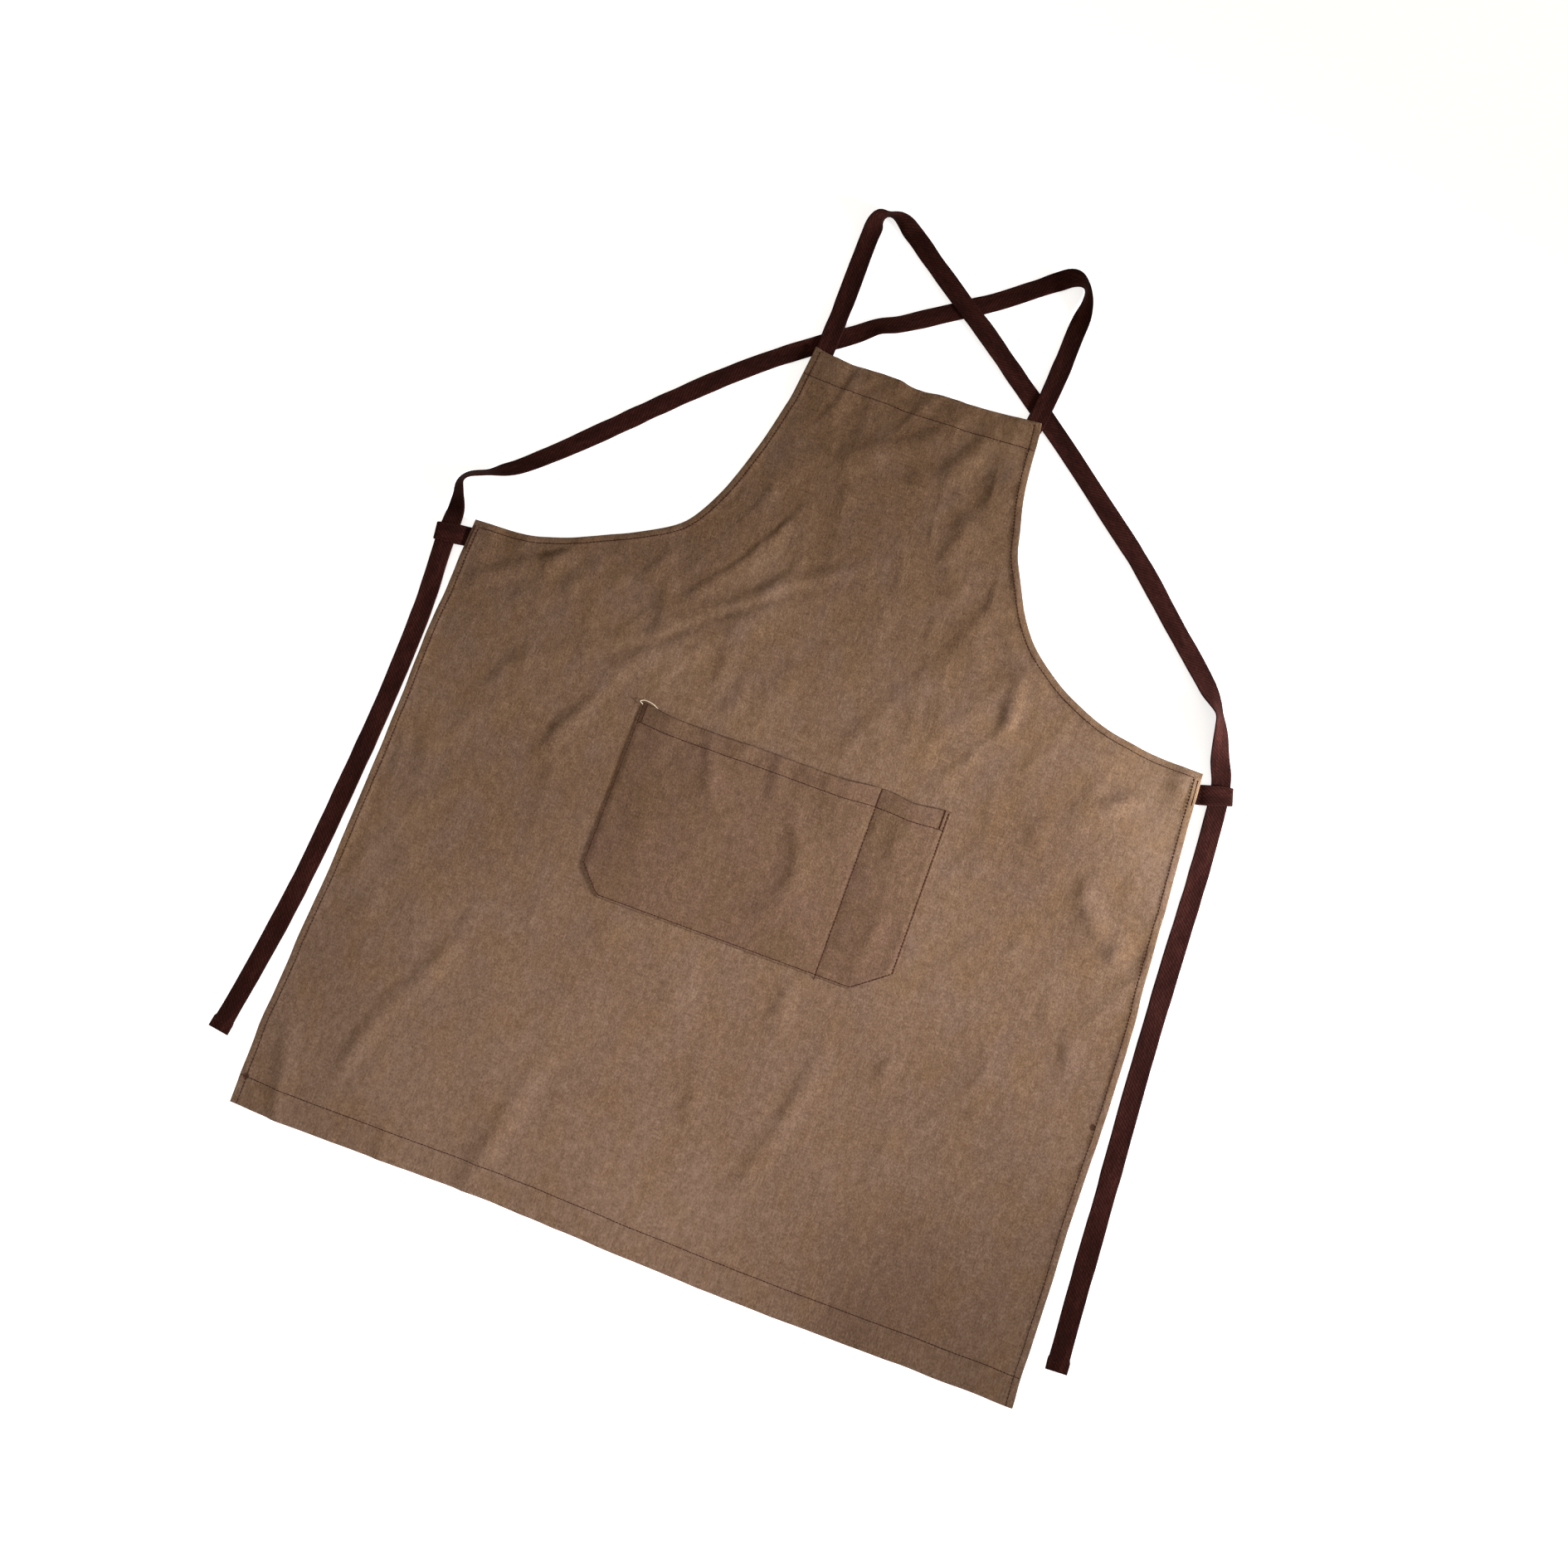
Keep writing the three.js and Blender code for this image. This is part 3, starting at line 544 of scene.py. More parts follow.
def sheet_mesh(name, lower, upper, uv):
    """A closed cloth mesh from matching grids of its lower and upper faces."""
    rows, columns = lower.shape[:2]
    verts = np.concatenate([lower.reshape(-1, 3), upper.reshape(-1, 3)])
    index = np.arange(rows * columns).reshape(rows, columns)
    top = index + rows * columns
    faces = np.concatenate([
        quads(top[:-1, :-1], top[:-1, 1:], top[1:, 1:], top[1:, :-1]),
        quads(index[:-1, :-1], index[1:, :-1], index[1:, 1:], index[:-1, 1:]),
        quads(index[:-1, 0], top[:-1, 0], top[1:, 0], index[1:, 0]),
        quads(index[:-1, -1], index[1:, -1], top[1:, -1], top[:-1, -1]),
        quads(index[0, :-1], index[0, 1:], top[0, 1:], top[0, :-1]),
        quads(index[-1, :-1], top[-1, :-1], top[-1, 1:], index[-1, 1:]),
    ])
    piece = add_piece(name, verts, faces.tolist())
    flat = np.concatenate([uv.reshape(-1, 2), uv.reshape(-1, 2)]) * MM
    layer = piece.data.uv_layers.new(name="cloth")
    layer.data.foreach_set("uv", flat[faces.reshape(-1)].astype(np.float32).reshape(-1))
    return piece


def inset_edge(edge, corner, distance, inward):
    """The edge moved in by a distance, turning the waist corner without folding over itself."""
    step = np.gradient(edge, axis=0)
    step[corner - 1] = edge[corner - 1] - edge[corner - 2]
    step[corner + 1] = edge[corner + 2] - edge[corner + 1]
    step = unit(step)
    normal = np.stack([inward * step[:, 1], -inward * step[:, 0]], 1)
    travelled = distances(edge)
    from_corner = travelled - travelled[corner]
    slide = distance * np.clip(1 - np.abs(from_corner) / CORNER_REACH, 0, 1) * np.sign(from_corner)
    moved = edge + normal * distance + step * slide[:, None]
    moved[corner] = edge[corner] + np.array([inward * distance, -distance])
    ends = [0, -1]
    moved[ends] = edge[ends] + np.array([inward * distance, 0])
    low_rows = len(BOTTOM_STEPS)
    moved[:low_rows, 1] = edge[:low_rows, 1]
    high_rows = len(TOP_STEPS)
    moved[-high_rows:, 1] = edge[-high_rows:, 1]
    return moved


def side_reach(side, y):
    """How far out a side of the skirt lies."""
    return np.interp(y, [row.y for row in SIDE], [getattr(row, side) for row in SIDE])


def panel_grid():
    """Flat places of the panel's grid, distance of each from the cut edges, and where its stitches run."""
    side_rows = np.arange(BOTTOM_STEPS[-1] + ROW_PITCH, WAIST - ROW_PITCH / 2, ROW_PITCH)
    heights = np.concatenate([BOTTOM_STEPS, side_rows, [WAIST]])
    corner = len(heights) - 1
    edges = {}
    for side, inward in (("left", 1), ("right", -1)):
        straight = np.stack([-inward * side_reach(side, heights), heights], 1)
        knots = [straight[-1]] + [(-inward * getattr(row, side), row.y) for row in ARMHOLE]
        curve, _, _ = curve_through(knots, ROW_PITCH)
        top_y = BIB_TOP - np.array(TOP_STEPS[::-1])
        keep = curve[:, 1] < top_y[0] - ROW_PITCH / 2
        bib = np.stack([np.interp(top_y, curve[:, 1], curve[:, 0]), top_y], 1)
        edges[side] = (straight, curve[keep][1:], bib)
    count = min(len(edges["left"][1]), len(edges["right"][1]))
    for side in edges:
        straight, curve, bib = edges[side]
        place = np.linspace(0, len(curve) - 1, count)
        spread = sample(curve, np.arange(len(curve)), place)
        edge = np.vstack([straight, spread, bib])
        wave = noise(edge[:, 1] / EDGE_WAVE_CELL, edge[:, 0] / EDGE_WAVE_CELL, EDGE_WAVE_SEEDS[side])
        step = headings(edge)
        calm = smoothstep(np.abs(np.arange(len(edge)) - corner), *CORNER_CALM)
        edge = edge + np.stack([step[:, 1], -step[:, 0]], 1) * (EDGE_WAVE * wave * calm)[:, None]
        edges[side] = edge
    left = [inset_edge(edges["left"], corner, d, 1) for d in EDGE_STEPS]
    right = [inset_edge(edges["right"], corner, d, -1) for d in EDGE_STEPS]
    rows = len(edges["left"])
    first = int(np.searchsorted(heights, FAN_START))
    last = rows - len(TOP_STEPS)
    middle_y = (edges["left"][:, 1] + edges["right"][:, 1]) / 2
    middle_y[first:last + 1] = np.linspace(middle_y[first], middle_y[last], last + 1 - first)
    share = np.linspace(0, 1, COLUMNS + 1)[1:-1]
    inner = []
    for part in share:
        flat = left[-1] * (1 - part) + right[-1] * part
        outward = smoothstep(abs(2 * part - 1), FAN_LEVEL, 1)
        flat[:, 1] = flat[:, 1] * outward + middle_y * (1 - outward)
        inner.append(flat)
    grid = np.stack(left + inner + right[::-1], 1)
    far = np.full(len(inner), INNER_SIDE)
    side_distance = np.concatenate([EDGE_STEPS, far, EDGE_STEPS[::-1]])
    side_distance = np.broadcast_to(side_distance, grid.shape[:2])
    bottom_distance = np.full(rows, INNER_ROW)
    bottom_distance[:len(BOTTOM_STEPS)] = BOTTOM_STEPS
    top_distance = np.full(rows, INNER_ROW)
    top_distance[-len(TOP_STEPS):] = TOP_STEPS[::-1]
    stitch_column = EDGE_STEPS.index(SIDE_STITCH)
    lines = {
        "left": (slice(None), stitch_column),
        "right": (slice(None), -1 - stitch_column),
        "bottom": (BOTTOM_STEPS.index(BOTTOM_STITCH), slice(1, -1)),
        "top": (rows - 1 - TOP_STEPS.index(TOP_STITCH), slice(1, -1)),
    }
    return grid, side_distance, bottom_distance[:, None], top_distance[:, None], lines


def groove(distance, at):
    return GROOVE_DEPTH * bell(distance, at, GROOVE_HALF)


def rounded(distance):
    """How much of the cloth's thickness is left this far in from a folded edge."""
    share = np.clip(1 - distance / EDGE_ROUND, 0, 1)
    return np.maximum(EDGE_LEAST, np.sqrt(np.maximum(0, 1 - share ** 2)))


def dip_at(table, x):
    return np.interp(x, [row.x for row in table], [row.dip for row in table])


def strongest(first, *others):
    for other in others:
        first = np.maximum(first, other)
    return first


def make_panel():
    grid, side, bottom, top, lines = panel_grid()
    x = grid[..., 0]
    height = grid[..., 1]
    sag = (dip_at(TOP_EDGE, x) + ripple(x, TOP_RIPPLE)) * smoothstep(height, BIB_TOP - TOP_REACH, BIB_TOP)
    drop = (dip_at(BOTTOM_EDGE, x) + ripple(x, BOTTOM_RIPPLE)) * (1 - smoothstep(height, 0, BOTTOM_REACH))
    y = height - sag - drop
    hem = strongest(
        1 - smoothstep(side, SIDE_HEM - SIDE_HEM_EARLY, SIDE_HEM + HEM_STEP),
        1 - smoothstep(bottom, BOTTOM_HEM, BOTTOM_HEM + HEM_STEP),
        1 - smoothstep(top, TOP_HEM, TOP_HEM + HEM_STEP),
    )
    thick = CLOTH + HEM_EXTRA * hem
    lift = panel_lift(x, y)
    gather = strongest(bell(side, *SIDE_PUCKER), bell(bottom, *HEM_PUCKER), bell(top, *HEM_PUCKER))
    lift = lift + PUCKER_HEIGHT * gather * (1 + noise(x / PUCKER_CELL, y / PUCKER_CELL, PUCKER_SEED))
    body = np.minimum(rounded(side), np.minimum(rounded(bottom), rounded(top)))
    pressed = groove(side, SIDE_STITCH) + groove(bottom, BOTTOM_STITCH) + groove(top, TOP_STITCH)
    middle = lift + thick / 2
    upper = np.stack([x, y, middle + thick / 2 * body - pressed], -1)
    lower = np.stack([x, y, middle - thick / 2 * body], -1)
    piece = sheet_mesh("panel_cloth", lower, upper, grid)
    paths = {name: upper[where] for name, where in lines.items()}
    outline = np.vstack([grid[:, 0], grid[::-1, -1]])
    shifted = np.roll(outline, -1, axis=0)
    area = abs(np.sum(outline[:, 0] * shifted[:, 1] - shifted[:, 0] * outline[:, 1])) / 2
    return piece, paths, area * MM * MM


def pocket_foot(x):
    left_cut = 1 - (x - POCKET_LEFT) / CUT_LEFT
    right_cut = 1 - (POCKET_RIGHT - x) / CUT_RIGHT
    return POCKET_BOTTOM + CUT_HEIGHT * np.clip(np.maximum(left_cut, right_cut), 0, 1)


def pocket_side(x):
    """Distance across the pocket to its nearer side."""
    return np.minimum(x - POCKET_LEFT, POCKET_RIGHT - x)


def pocket_seam(x):
    """Distance across the pocket to its nearest upright seam."""
    return np.minimum(pocket_side(x), np.abs(x - POCKET_DIVIDER))


def pocket_slack(y):
    """Nothing in the body of the pocket, rising to one at its mouth."""
    return smoothstep(y, POCKET_TOP - 2 * POCKET_HEM, POCKET_TOP)


def pocket_bottom_height(x, y):
    """Height of the pocket's inner face over the floor."""
    to_stitch = pocket_seam(x)
    free = smoothstep(to_stitch, 0, STITCH_REACH)
    bag = POCKET_BULGE + creases_at(POCKET_CREASES, x, y)
    bag = bag * smoothstep(y - pocket_foot(x), 0, STITCH_REACH)
    mouth = POCKET_MOUTH * pocket_slack(y) * (1 + ripple(x, MOUTH_RIPPLE))
    rough = sum(row.height * (1 + noise(x / row.cell_x, y / row.cell_y, row.seed)) for row in POCKET_ROUGH)
    rough = rough * smoothstep(to_stitch, 0, ROUGH_REACH)
    return panel_lift(x, y) + CLOTH + POCKET_CLEAR + free * (bag + mouth) + rough


def make_pocket():
    steps = np.array(POCKET_STEPS)
    even = np.arange(POCKET_LEFT + steps[-1] + POCKET_PITCH, POCKET_RIGHT - steps[-1], POCKET_PITCH)
    even = even[np.abs(even - POCKET_DIVIDER) > DIVIDER_CLEAR]
    divider = POCKET_DIVIDER + np.array(DIVIDER_STEPS)
    x = np.sort(np.concatenate([POCKET_LEFT + steps, POCKET_RIGHT - steps, even, divider]))
    top_steps = np.array(POCKET_TOP_STEPS[::-1])
    low = pocket_foot(x) + steps[:, None]
    high = np.tile((POCKET_TOP - top_steps)[:, None], len(x))
    flat_y = np.concatenate([low, np.linspace(low[-1], high[0], POCKET_ROWS + 2)[1:-1], high])
    rows = flat_y.shape[0]
    flat_x = np.broadcast_to(x, flat_y.shape)
    free = smoothstep(pocket_seam(flat_x), 0, STITCH_REACH)
    y = flat_y - (POCKET_SAG * free + ripple(flat_x, SAG_RIPPLE)) * pocket_slack(flat_y)
    low_edge = np.full(rows, INNER_ROW)
    low_edge[:len(steps)] = steps
    top_edge = np.full(rows, INNER_ROW)
    top_edge[-len(top_steps):] = top_steps
    top_edge = top_edge[:, None]
    sewn_edge = np.minimum(pocket_side(flat_x), low_edge[:, None])
    turned = np.maximum(
        1 - smoothstep(sewn_edge, POCKET_TURN - POCKET_TURN_STEP, POCKET_TURN + POCKET_TURN_STEP),
        1 - smoothstep(top_edge, POCKET_HEM, POCKET_HEM + HEM_STEP),
    )
    thick = POCKET_CLOTH + POCKET_TURN_EXTRA * turned
    pressed = SEAM_PRESS * (groove(sewn_edge, POCKET_STITCH) + groove(top_edge, POCKET_HEM_STITCH))
    pressed = pressed + DIVIDER_PRESS * groove(flat_x, POCKET_DIVIDER)
    body = np.minimum(rounded(sewn_edge), rounded(top_edge))
    inner = pocket_bottom_height(flat_x, y)
    middle = inner + thick / 2
    upper = np.stack([flat_x, y, middle + thick / 2 * body - pressed], -1)
    lower = np.stack([flat_x, y, middle - thick / 2 * body], -1)
    piece = sheet_mesh("pocket_cloth", lower, upper, np.stack([flat_x, flat_y], -1))
    inside = POCKET_STEPS.index(POCKET_STITCH)
    column = int(np.argmin(np.abs(x - POCKET_DIVIDER)))
    hem_row = rows - 1 - POCKET_TOP_STEPS.index(POCKET_HEM_STITCH)
    overrun = [POCKET_DIVIDER, POCKET_BOTTOM - DIVIDER_OVERRUN, 0]
    overrun[2] = float(panel_lift(np.array([overrun[0]]), np.array([overrun[1]]))[0]) + CLOTH
    tack_column = POCKET_STEPS.index(POCKET_TACK)
    sewn = np.concatenate([
        upper[inside:-1, inside][::-1],
        upper[inside, inside + 1:-1 - inside],
        upper[inside:-1, -1 - inside],
    ])
    rows = [sewn, upper[hem_row, inside:-1 - inside], np.vstack([overrun, upper[1:-1, column]])]
    tacks = [upper[hem_row:-1, tack_column], upper[hem_row:-1, -1 - tack_column], upper[hem_row:-1, column]]
    return piece, rows, tacks


def smooth_along(values, places, reach):
    """Softens a profile along a tape over a distance."""
    weights = np.exp(-((places[:, None] - places[None, :]) / reach) ** 2)
    return weights @ values / weights.sum(1)


def tape_mesh(name, lower, upper, width, along):
    """A tape from its lower and upper lines, one for each share of its width."""
    across = np.array(TAPE_SHARES) * width / 2
    uv = np.stack(np.broadcast_arrays(across[None, :], along[:, None]), -1)
    return sheet_mesh(name, np.stack(lower, 1), np.stack(upper, 1), uv)


def make_strap(name, route, seed):
    points = [(spot.x, spot.y) for spot in route]
    middle, along, marks = curve_through(points, TAPE_PITCH)
    lift = smooth_along(np.interp(along, marks, [spot.lift for spot in route]), along, CARRY_SMOOTH)
    bank = smooth_along(np.interp(along, marks, [spot.bank for spot in route]), along, CARRY_SMOOTH)
    bank = np.radians(bank + ripple(along, BANK_RIPPLE, seed))
    run = headings(middle)
    length = along[-1]
    fold = length - END_FOLD
    folded = smoothstep(along, fold - END_FOLD_EASE, fold + END_FOLD_EASE)
    half = (TAPE_WIDTH + END_EXTRA_WIDTH * folded) / 2 * (1 + ripple(along, WIDTH_RIPPLE, seed))
    thick = TAPE_THICK * (1 + END_EXTRA_THICK * folded)
    beside = np.stack([run[:, 1], -run[:, 0], np.zeros(len(run))], 1)
    upright = np.array([0.0, 0.0, 1.0])
    side = np.cos(bank)[:, None] * beside + np.sin(bank)[:, None] * upright
    face = np.cos(bank)[:, None] * upright - np.sin(bank)[:, None] * beside
    rest = np.maximum(0, lift) + half * np.abs(np.sin(bank)) + thick / 2 * np.abs(np.cos(bank))
    centre = np.concatenate([middle, rest[:, None]], 1)
    lower = []
    upper = []
    waves = ripple(along, FACE_RIPPLE, seed)
    for share, body in zip(TAPE_SHARES, TAPE_BODY):
        spot = centre + side * (half * share)[:, None]
        edge_wave = (1 + waves * abs(share))[:, None]
        under = spot - face * (thick * body / 2)[:, None]
        under[:, 2] = np.maximum(under[:, 2], 0)
        lower.append(under)
        upper.append(spot + face * (thick * body / 2)[:, None] * edge_wave)
    piece = tape_mesh(name, lower, upper, TAPE_WIDTH, along)
    at = int(np.searchsorted(along, fold + END_STITCH))
    return piece, np.stack(upper, 1)[at, 1:-1], length * MM


def make_loop(name, place):
    points = [(place.toward * bend.out, bend.z) for bend in LOOP_PROFILE]
    path, along, _ = curve_through(points, LOOP_PITCH)
    run = headings(path)
    face = np.stack([-run[:, 1], run[:, 0]], 1) * place.toward
    half = LOOP_WIDTH / 2 * (1 - LOOP_PINCH * smoothstep(np.abs(path[:, 0]), PINCH_START, LOOP_OUT))
    turn = math.radians(place.turn)

    def turned(flat, beside):
        x = place.x + flat[:, 0] * math.cos(turn) - beside * math.sin(turn)
        y = place.y + flat[:, 0] * math.sin(turn) + beside * math.cos(turn)
        return np.stack([x, y, flat[:, 1]], 1)

    lower = []
    upper = []
    for share, body in zip(TAPE_SHARES, TAPE_BODY):
        beside = -place.toward * half * share
        lower.append(turned(path - face * LOOP_THICK * body / 2, beside))
        upper.append(turned(path + face * LOOP_THICK * body / 2, beside))
    return tape_mesh(name, lower, upper, LOOP_WIDTH, along), along[-1] * MM


def loop_tacks():
    """Close stitching near the panel's edge that holds each loop's ends in the side hem."""
    tacks = []
    for side, place in LOOPS.items():
        half = LOOP_WIDTH / 2 + TACK_OVERRUN
        y = np.linspace(place.y + half, place.y - half, TACK_POINTS)
        x = place.toward * (side_reach(side, y) - TACK_INSET)
        tacks.append(np.stack([x, y, panel_lift(x, y) + CLOTH + HEM_EXTRA], 1))
    return tacks


def tube(line, radii, beside, above):
    """Points in rings around a line, and the faces that join and cap the rings."""
    turns = np.linspace(0, 2 * math.pi, THREAD_SIDES, endpoint=False)
    verts = []
    for spot, radius, across, over in zip(line, radii, beside, above):
        verts.extend(spot + radius * (math.cos(turn) * across + math.sin(turn) * over) for turn in turns)
    faces = []
    for i in range(len(line) - 1):
        for j in range(THREAD_SIDES):
            a = i * THREAD_SIDES + j
            b = i * THREAD_SIDES + (j + 1) % THREAD_SIDES
            faces.append((a, a + THREAD_SIDES, b + THREAD_SIDES, b))
    last = (len(line) - 1) * THREAD_SIDES
    faces.append(tuple(range(THREAD_SIDES)))
    faces.append(tuple(last + j for j in reversed(range(THREAD_SIDES))))
    return verts, faces


def sides_of(run):
    """Level and upward directions square to each direction of a thread."""
    beside = unit(np.cross(run, [0.0, 0.0, 1.0]))
    return beside, np.cross(beside, run)


def stitch_row(path, seed, pitch):
    """Thread stitches dipping in and out of the cloth along a path on its face."""
    travelled = distances(path)
    count = int(travelled[-1] // pitch)
    rng = np.random.default_rng(SEED + seed)
    starts = np.arange(count) * pitch + rng.uniform(-STITCH_JITTER, STITCH_JITTER, count)
    shares = np.array([row.share for row in STITCH_SHAPE])
    radii = [THREAD_RADIUS * row.swell for row in STITCH_SHAPE]
    stitches = []
    for start in starts:
        at = np.clip(start + shares * STITCH_LENGTH, 0, travelled[-1])
        line = sample(path, travelled, at)
        line[:, 2] += [row.dip for row in STITCH_SHAPE]
        run = line[-1] - line[0]
        run = np.tile(run / np.linalg.norm(run), (len(line), 1))
        stitches.append(tube(line, radii, *sides_of(run)))
    return stitches


def thread_piece(name, rows, tacks=()):
    """All the stitches of one piece: even rows, and close bar tacks."""
    verts = []
    faces = []
    paced = [(path, STITCH_PITCH) for path in rows] + [(path, TACK_PITCH) for path in tacks]
    for number, (path, pitch) in enumerate(paced):
        for new_verts, new_faces in stitch_row(np.asarray(path), THREAD_SEED + number, pitch):
            faces.extend(tuple(index + len(verts) for index in face) for face in new_faces)
            verts.extend(new_verts)
    return add_piece(name, verts, faces)


def loose_thread(name, points):
    """A short free end of thread as a thin tube."""
    path, _, _ = curve_through(points, TAIL_PITCH)
    verts, faces = tube(path, [TAIL_RADIUS] * len(path), *sides_of(headings(path)))
    return add_piece(name, verts, faces)


def linear(red, green, blue):
    """A colour as the eye reads it, 0 to 255, to the shader's linear values."""
    values = []
    for part in (red, green, blue):
        part = part / 255
        values.append(part / 12.92 if part <= 0.04045 else ((part + 0.055) / 1.055) ** 2.4)
    return (*values, 1.0)


class Shader:
    """A short way to wire a procedural material."""

    def __init__(self, name):
        self.material = bpy.data.materials.new(name)
        self.material.use_nodes = True
        self.tree = self.material.node_tree
        self.surface = self.tree.nodes["Principled BSDF"]
        self.uv = self.node("UVMap")
        self.uv.uv_map = "cloth"

    def node(self, kind, **values):
        """A new node with some of its inputs set."""
        node = self.tree.nodes.new("ShaderNode" + kind)
        for name, value in values.items():
            node.inputs[name.replace("_", " ")].default_value = value
        return node

    def link(self, out, into):
        self.tree.links.new(out, into)

    def placed(self, kind, place, **values):
        """A new node that reads coordinates."""
        node = self.node(kind, **values)
        self.link(place, node.inputs["Vector"])
        return node

    def stretched(self, along_x, along_y):
        """The cloth's own coordinates, in features of these lengths in millimetres."""
        scale = (1 / (along_x * MM), 1 / (along_y * MM), 1)
        return self.placed("Mapping", self.uv.outputs["UV"], Scale=scale).outputs["Vector"]

    def noise(self, along_x, along_y, detail=1.0, rough=0.5):
        place = self.stretched(along_x, along_y)
        node = self.placed("TexNoise", place, Scale=1.0, Detail=detail, Roughness=rough)
        node.noise_dimensions = "2D"
        return node.outputs[0]

    def speckle(self, scale):
        """Noise in the object's own space."""
        return self.placed("TexNoise", self.node("TexCoord").outputs["Object"], Scale=scale).outputs[0]

    def bands(self, pitch, direction):
        """Rounded yarns side by side."""
        node = self.placed("TexWave", self.stretched(pitch, pitch), Scale=ONE_BAND)
        node.wave_type = "BANDS"
        node.bands_direction = direction
        return node.outputs["Fac"]

    def checks(self, pitch):
        return self.placed("TexChecker", self.stretched(pitch, pitch), Scale=1.0).outputs["Fac"]

    def up_cloth(self, low, high):
        """Nothing below one height on the cloth, one above another."""
        parts = self.node("SeparateXYZ")
        self.link(self.uv.outputs["UV"], parts.inputs[0])
        node = self.node("MapRange", From_Min=low * MM, From_Max=high * MM)
        self.link(parts.outputs["Y"], node.inputs["Value"])
        return node.outputs["Result"]

    def around(self, spot):
        """One at a spot on the cloth, falling to nothing at its reach."""
        closer = 1 / (spot.reach * MM)
        middle = (-spot.x / spot.reach, -spot.y / spot.reach, 0)
        node = self.placed("Mapping", self.uv.outputs["UV"], Location=middle, Scale=(closer, closer, 1))
        ball = self.placed("TexGradient", node.outputs["Vector"])
        ball.gradient_type = "SPHERICAL"
        return ball.outputs["Fac"]

    def math(self, kind, first, second):
        """Works on a node's result and another's, or a plain number."""
        node = self.node("Math")
        node.operation = kind
        self.link(first, node.inputs[0])
        if isinstance(second, (int, float)):
            node.inputs[1].default_value = second
        else:
            self.link(second, node.inputs[1])
        return node.outputs[0]

    def plus(self, value, part, share):
        return self.math("ADD", value, self.math("MULTIPLY", part, share))

    def mixed(self, parts):
        """One half, plus each part's swing about one half times its share."""
        total = None
        for part, share in parts:
            swing = self.math("MULTIPLY", self.math("SUBTRACT", part, 0.5), share)
            total = swing if total is None else self.math("ADD", total, swing)
        return self.math("ADD", total, 0.5)

    def blend(self, kind, factor, first, second):
        """One number or colour where factor is nothing, the other where it is one."""
        node = self.node("Mix")
        node.data_type = kind
        low, high, out = MIX_SOCKETS[kind]
        for number, value in ((0, factor), (low, first), (high, second)):
            self.link(value, node.inputs[number])
        return node.outputs[out]

    def ramp(self, value, stops):
        node = self.node("ValToRGB")
        ramp = node.color_ramp
        ramp.elements[0].position, ramp.elements[0].color = stops[0]
        ramp.elements[1].position, ramp.elements[1].color = stops[-1]
        for position, colour in stops[1:-1]:
            ramp.elements.new(position).color = colour
        self.link(value, node.inputs["Fac"])
        return node.outputs["Color"]

    def bumps(self, value, strength, depth):
        node = self.node("Bump", Strength=strength, Distance=depth * MM)
        self.link(value, node.inputs["Height"])
        self.link(node.outputs["Normal"], self.surface.inputs["Normal"])

    def finish(self, colour, rough, specular, sheen=0.0):
        self.link(colour, self.surface.inputs["Base Color"])
        self.surface.inputs["Roughness"].default_value = rough
        self.surface.inputs["Specular IOR Level"].default_value = specular
        self.surface.inputs["Sheen Weight"].default_value = sheen
        return self.material


def canvas_material(name, golden, rosy, painted_shade_fold=None):
    """Plain-woven washed canvas: slubby yarns both ways, fine mottling and slow changes of shade and tint,
    with painted shade and painted light in broad spots, a bib painted darker and a painted shade line along a
    fold.
    """
    shader = Shader(name)
    grain = shader.noise(1.5, 2, rough=0.6)
    warp = shader.noise(2.2, 11)
    weft = shader.noise(10, 2)
    mottle = shader.noise(6, 9, detail=3.0, rough=0.8)
    faded = shader.noise(70, 90, detail=2.0)
    over = shader.checks(YARN)
    shade = shader.mixed([(grain, 0.38), (warp, 0.1), (weft, 0.1), (mottle, 0.4), (faded, 0.1), (over, 0.06)])
    # Painted shade: the bib is painted darker
    shade = shader.plus(shade, shader.up_cloth(560, 760), BIB_PAINTED_SHADE)
    # Painted shade and painted light in broad spots, and a few small real marks
    for spot in PAINTED_LIGHT_AND_MARK_SPOTS:
        shade = shader.plus(shade, shader.around(spot), spot.share)
    # Painted shade: a dark line painted just under a fold's edge
    if painted_shade_fold:
        shade = shader.plus(shade, shader.up_cloth(painted_shade_fold - FOLD_PAINTED_SHADE_WIDTH, painted_shade_fold), FOLD_PAINTED_SHADE)
    tint = shader.mixed([
        (shader.noise(30, 44, detail=3.0, rough=0.6), 2.4),
        (shader.up_cloth(60, 400), -0.5),
        (shader.up_cloth(520, 800), -0.4),
    ])
    ribs = shader.blend("FLOAT", over, shader.bands(YARN, "X"), shader.bands(YARN, "Y"))
    relief = shader.mixed([(ribs, 0.7), (grain, 1.0), (warp, 0.5), (mottle, 1.2)])
    shader.bumps(relief, strength=0.6, depth=0.3)
    colour = shader.blend("RGBA", tint, shader.ramp(shade, golden), shader.ramp(shade, rosy))
    return shader.finish(colour, rough=0.92, specular=0.1, sheen=0.02)


def tape_material(name, stops):
    """Close twill tape: slanted ribs along the run, a little worn and dusty."""
    shader = Shader(name)
    slant = shader.bands(TWILL, "DIAGONAL")
    yarn = shader.noise(0.8, 9)
    fleck = shader.noise(2.2, 2.6, detail=3.0, rough=0.7)
    faded = shader.noise(16, 60, detail=3.0, rough=0.6)
    shade = shader.mixed([(slant, 0.16), (yarn, 0.4), (fleck, 0.4), (faded, 0.6)])
    relief = shader.mixed([(slant, 0.7), (yarn, 0.5), (fleck, 0.5)])
    shader.bumps(relief, strength=0.6, depth=0.25)
    return shader.finish(shader.ramp(shade, stops), rough=0.9, specular=0.04)


def thread_material(name, dark, light):
    shader = Shader(name)
    twist = shader.speckle(900)
    shader.bumps(twist, strength=0.4, depth=0.1)
    return shader.finish(shader.ramp(twist, [(0.3, dark), (0.7, light)]), rough=0.85, specular=0.1)


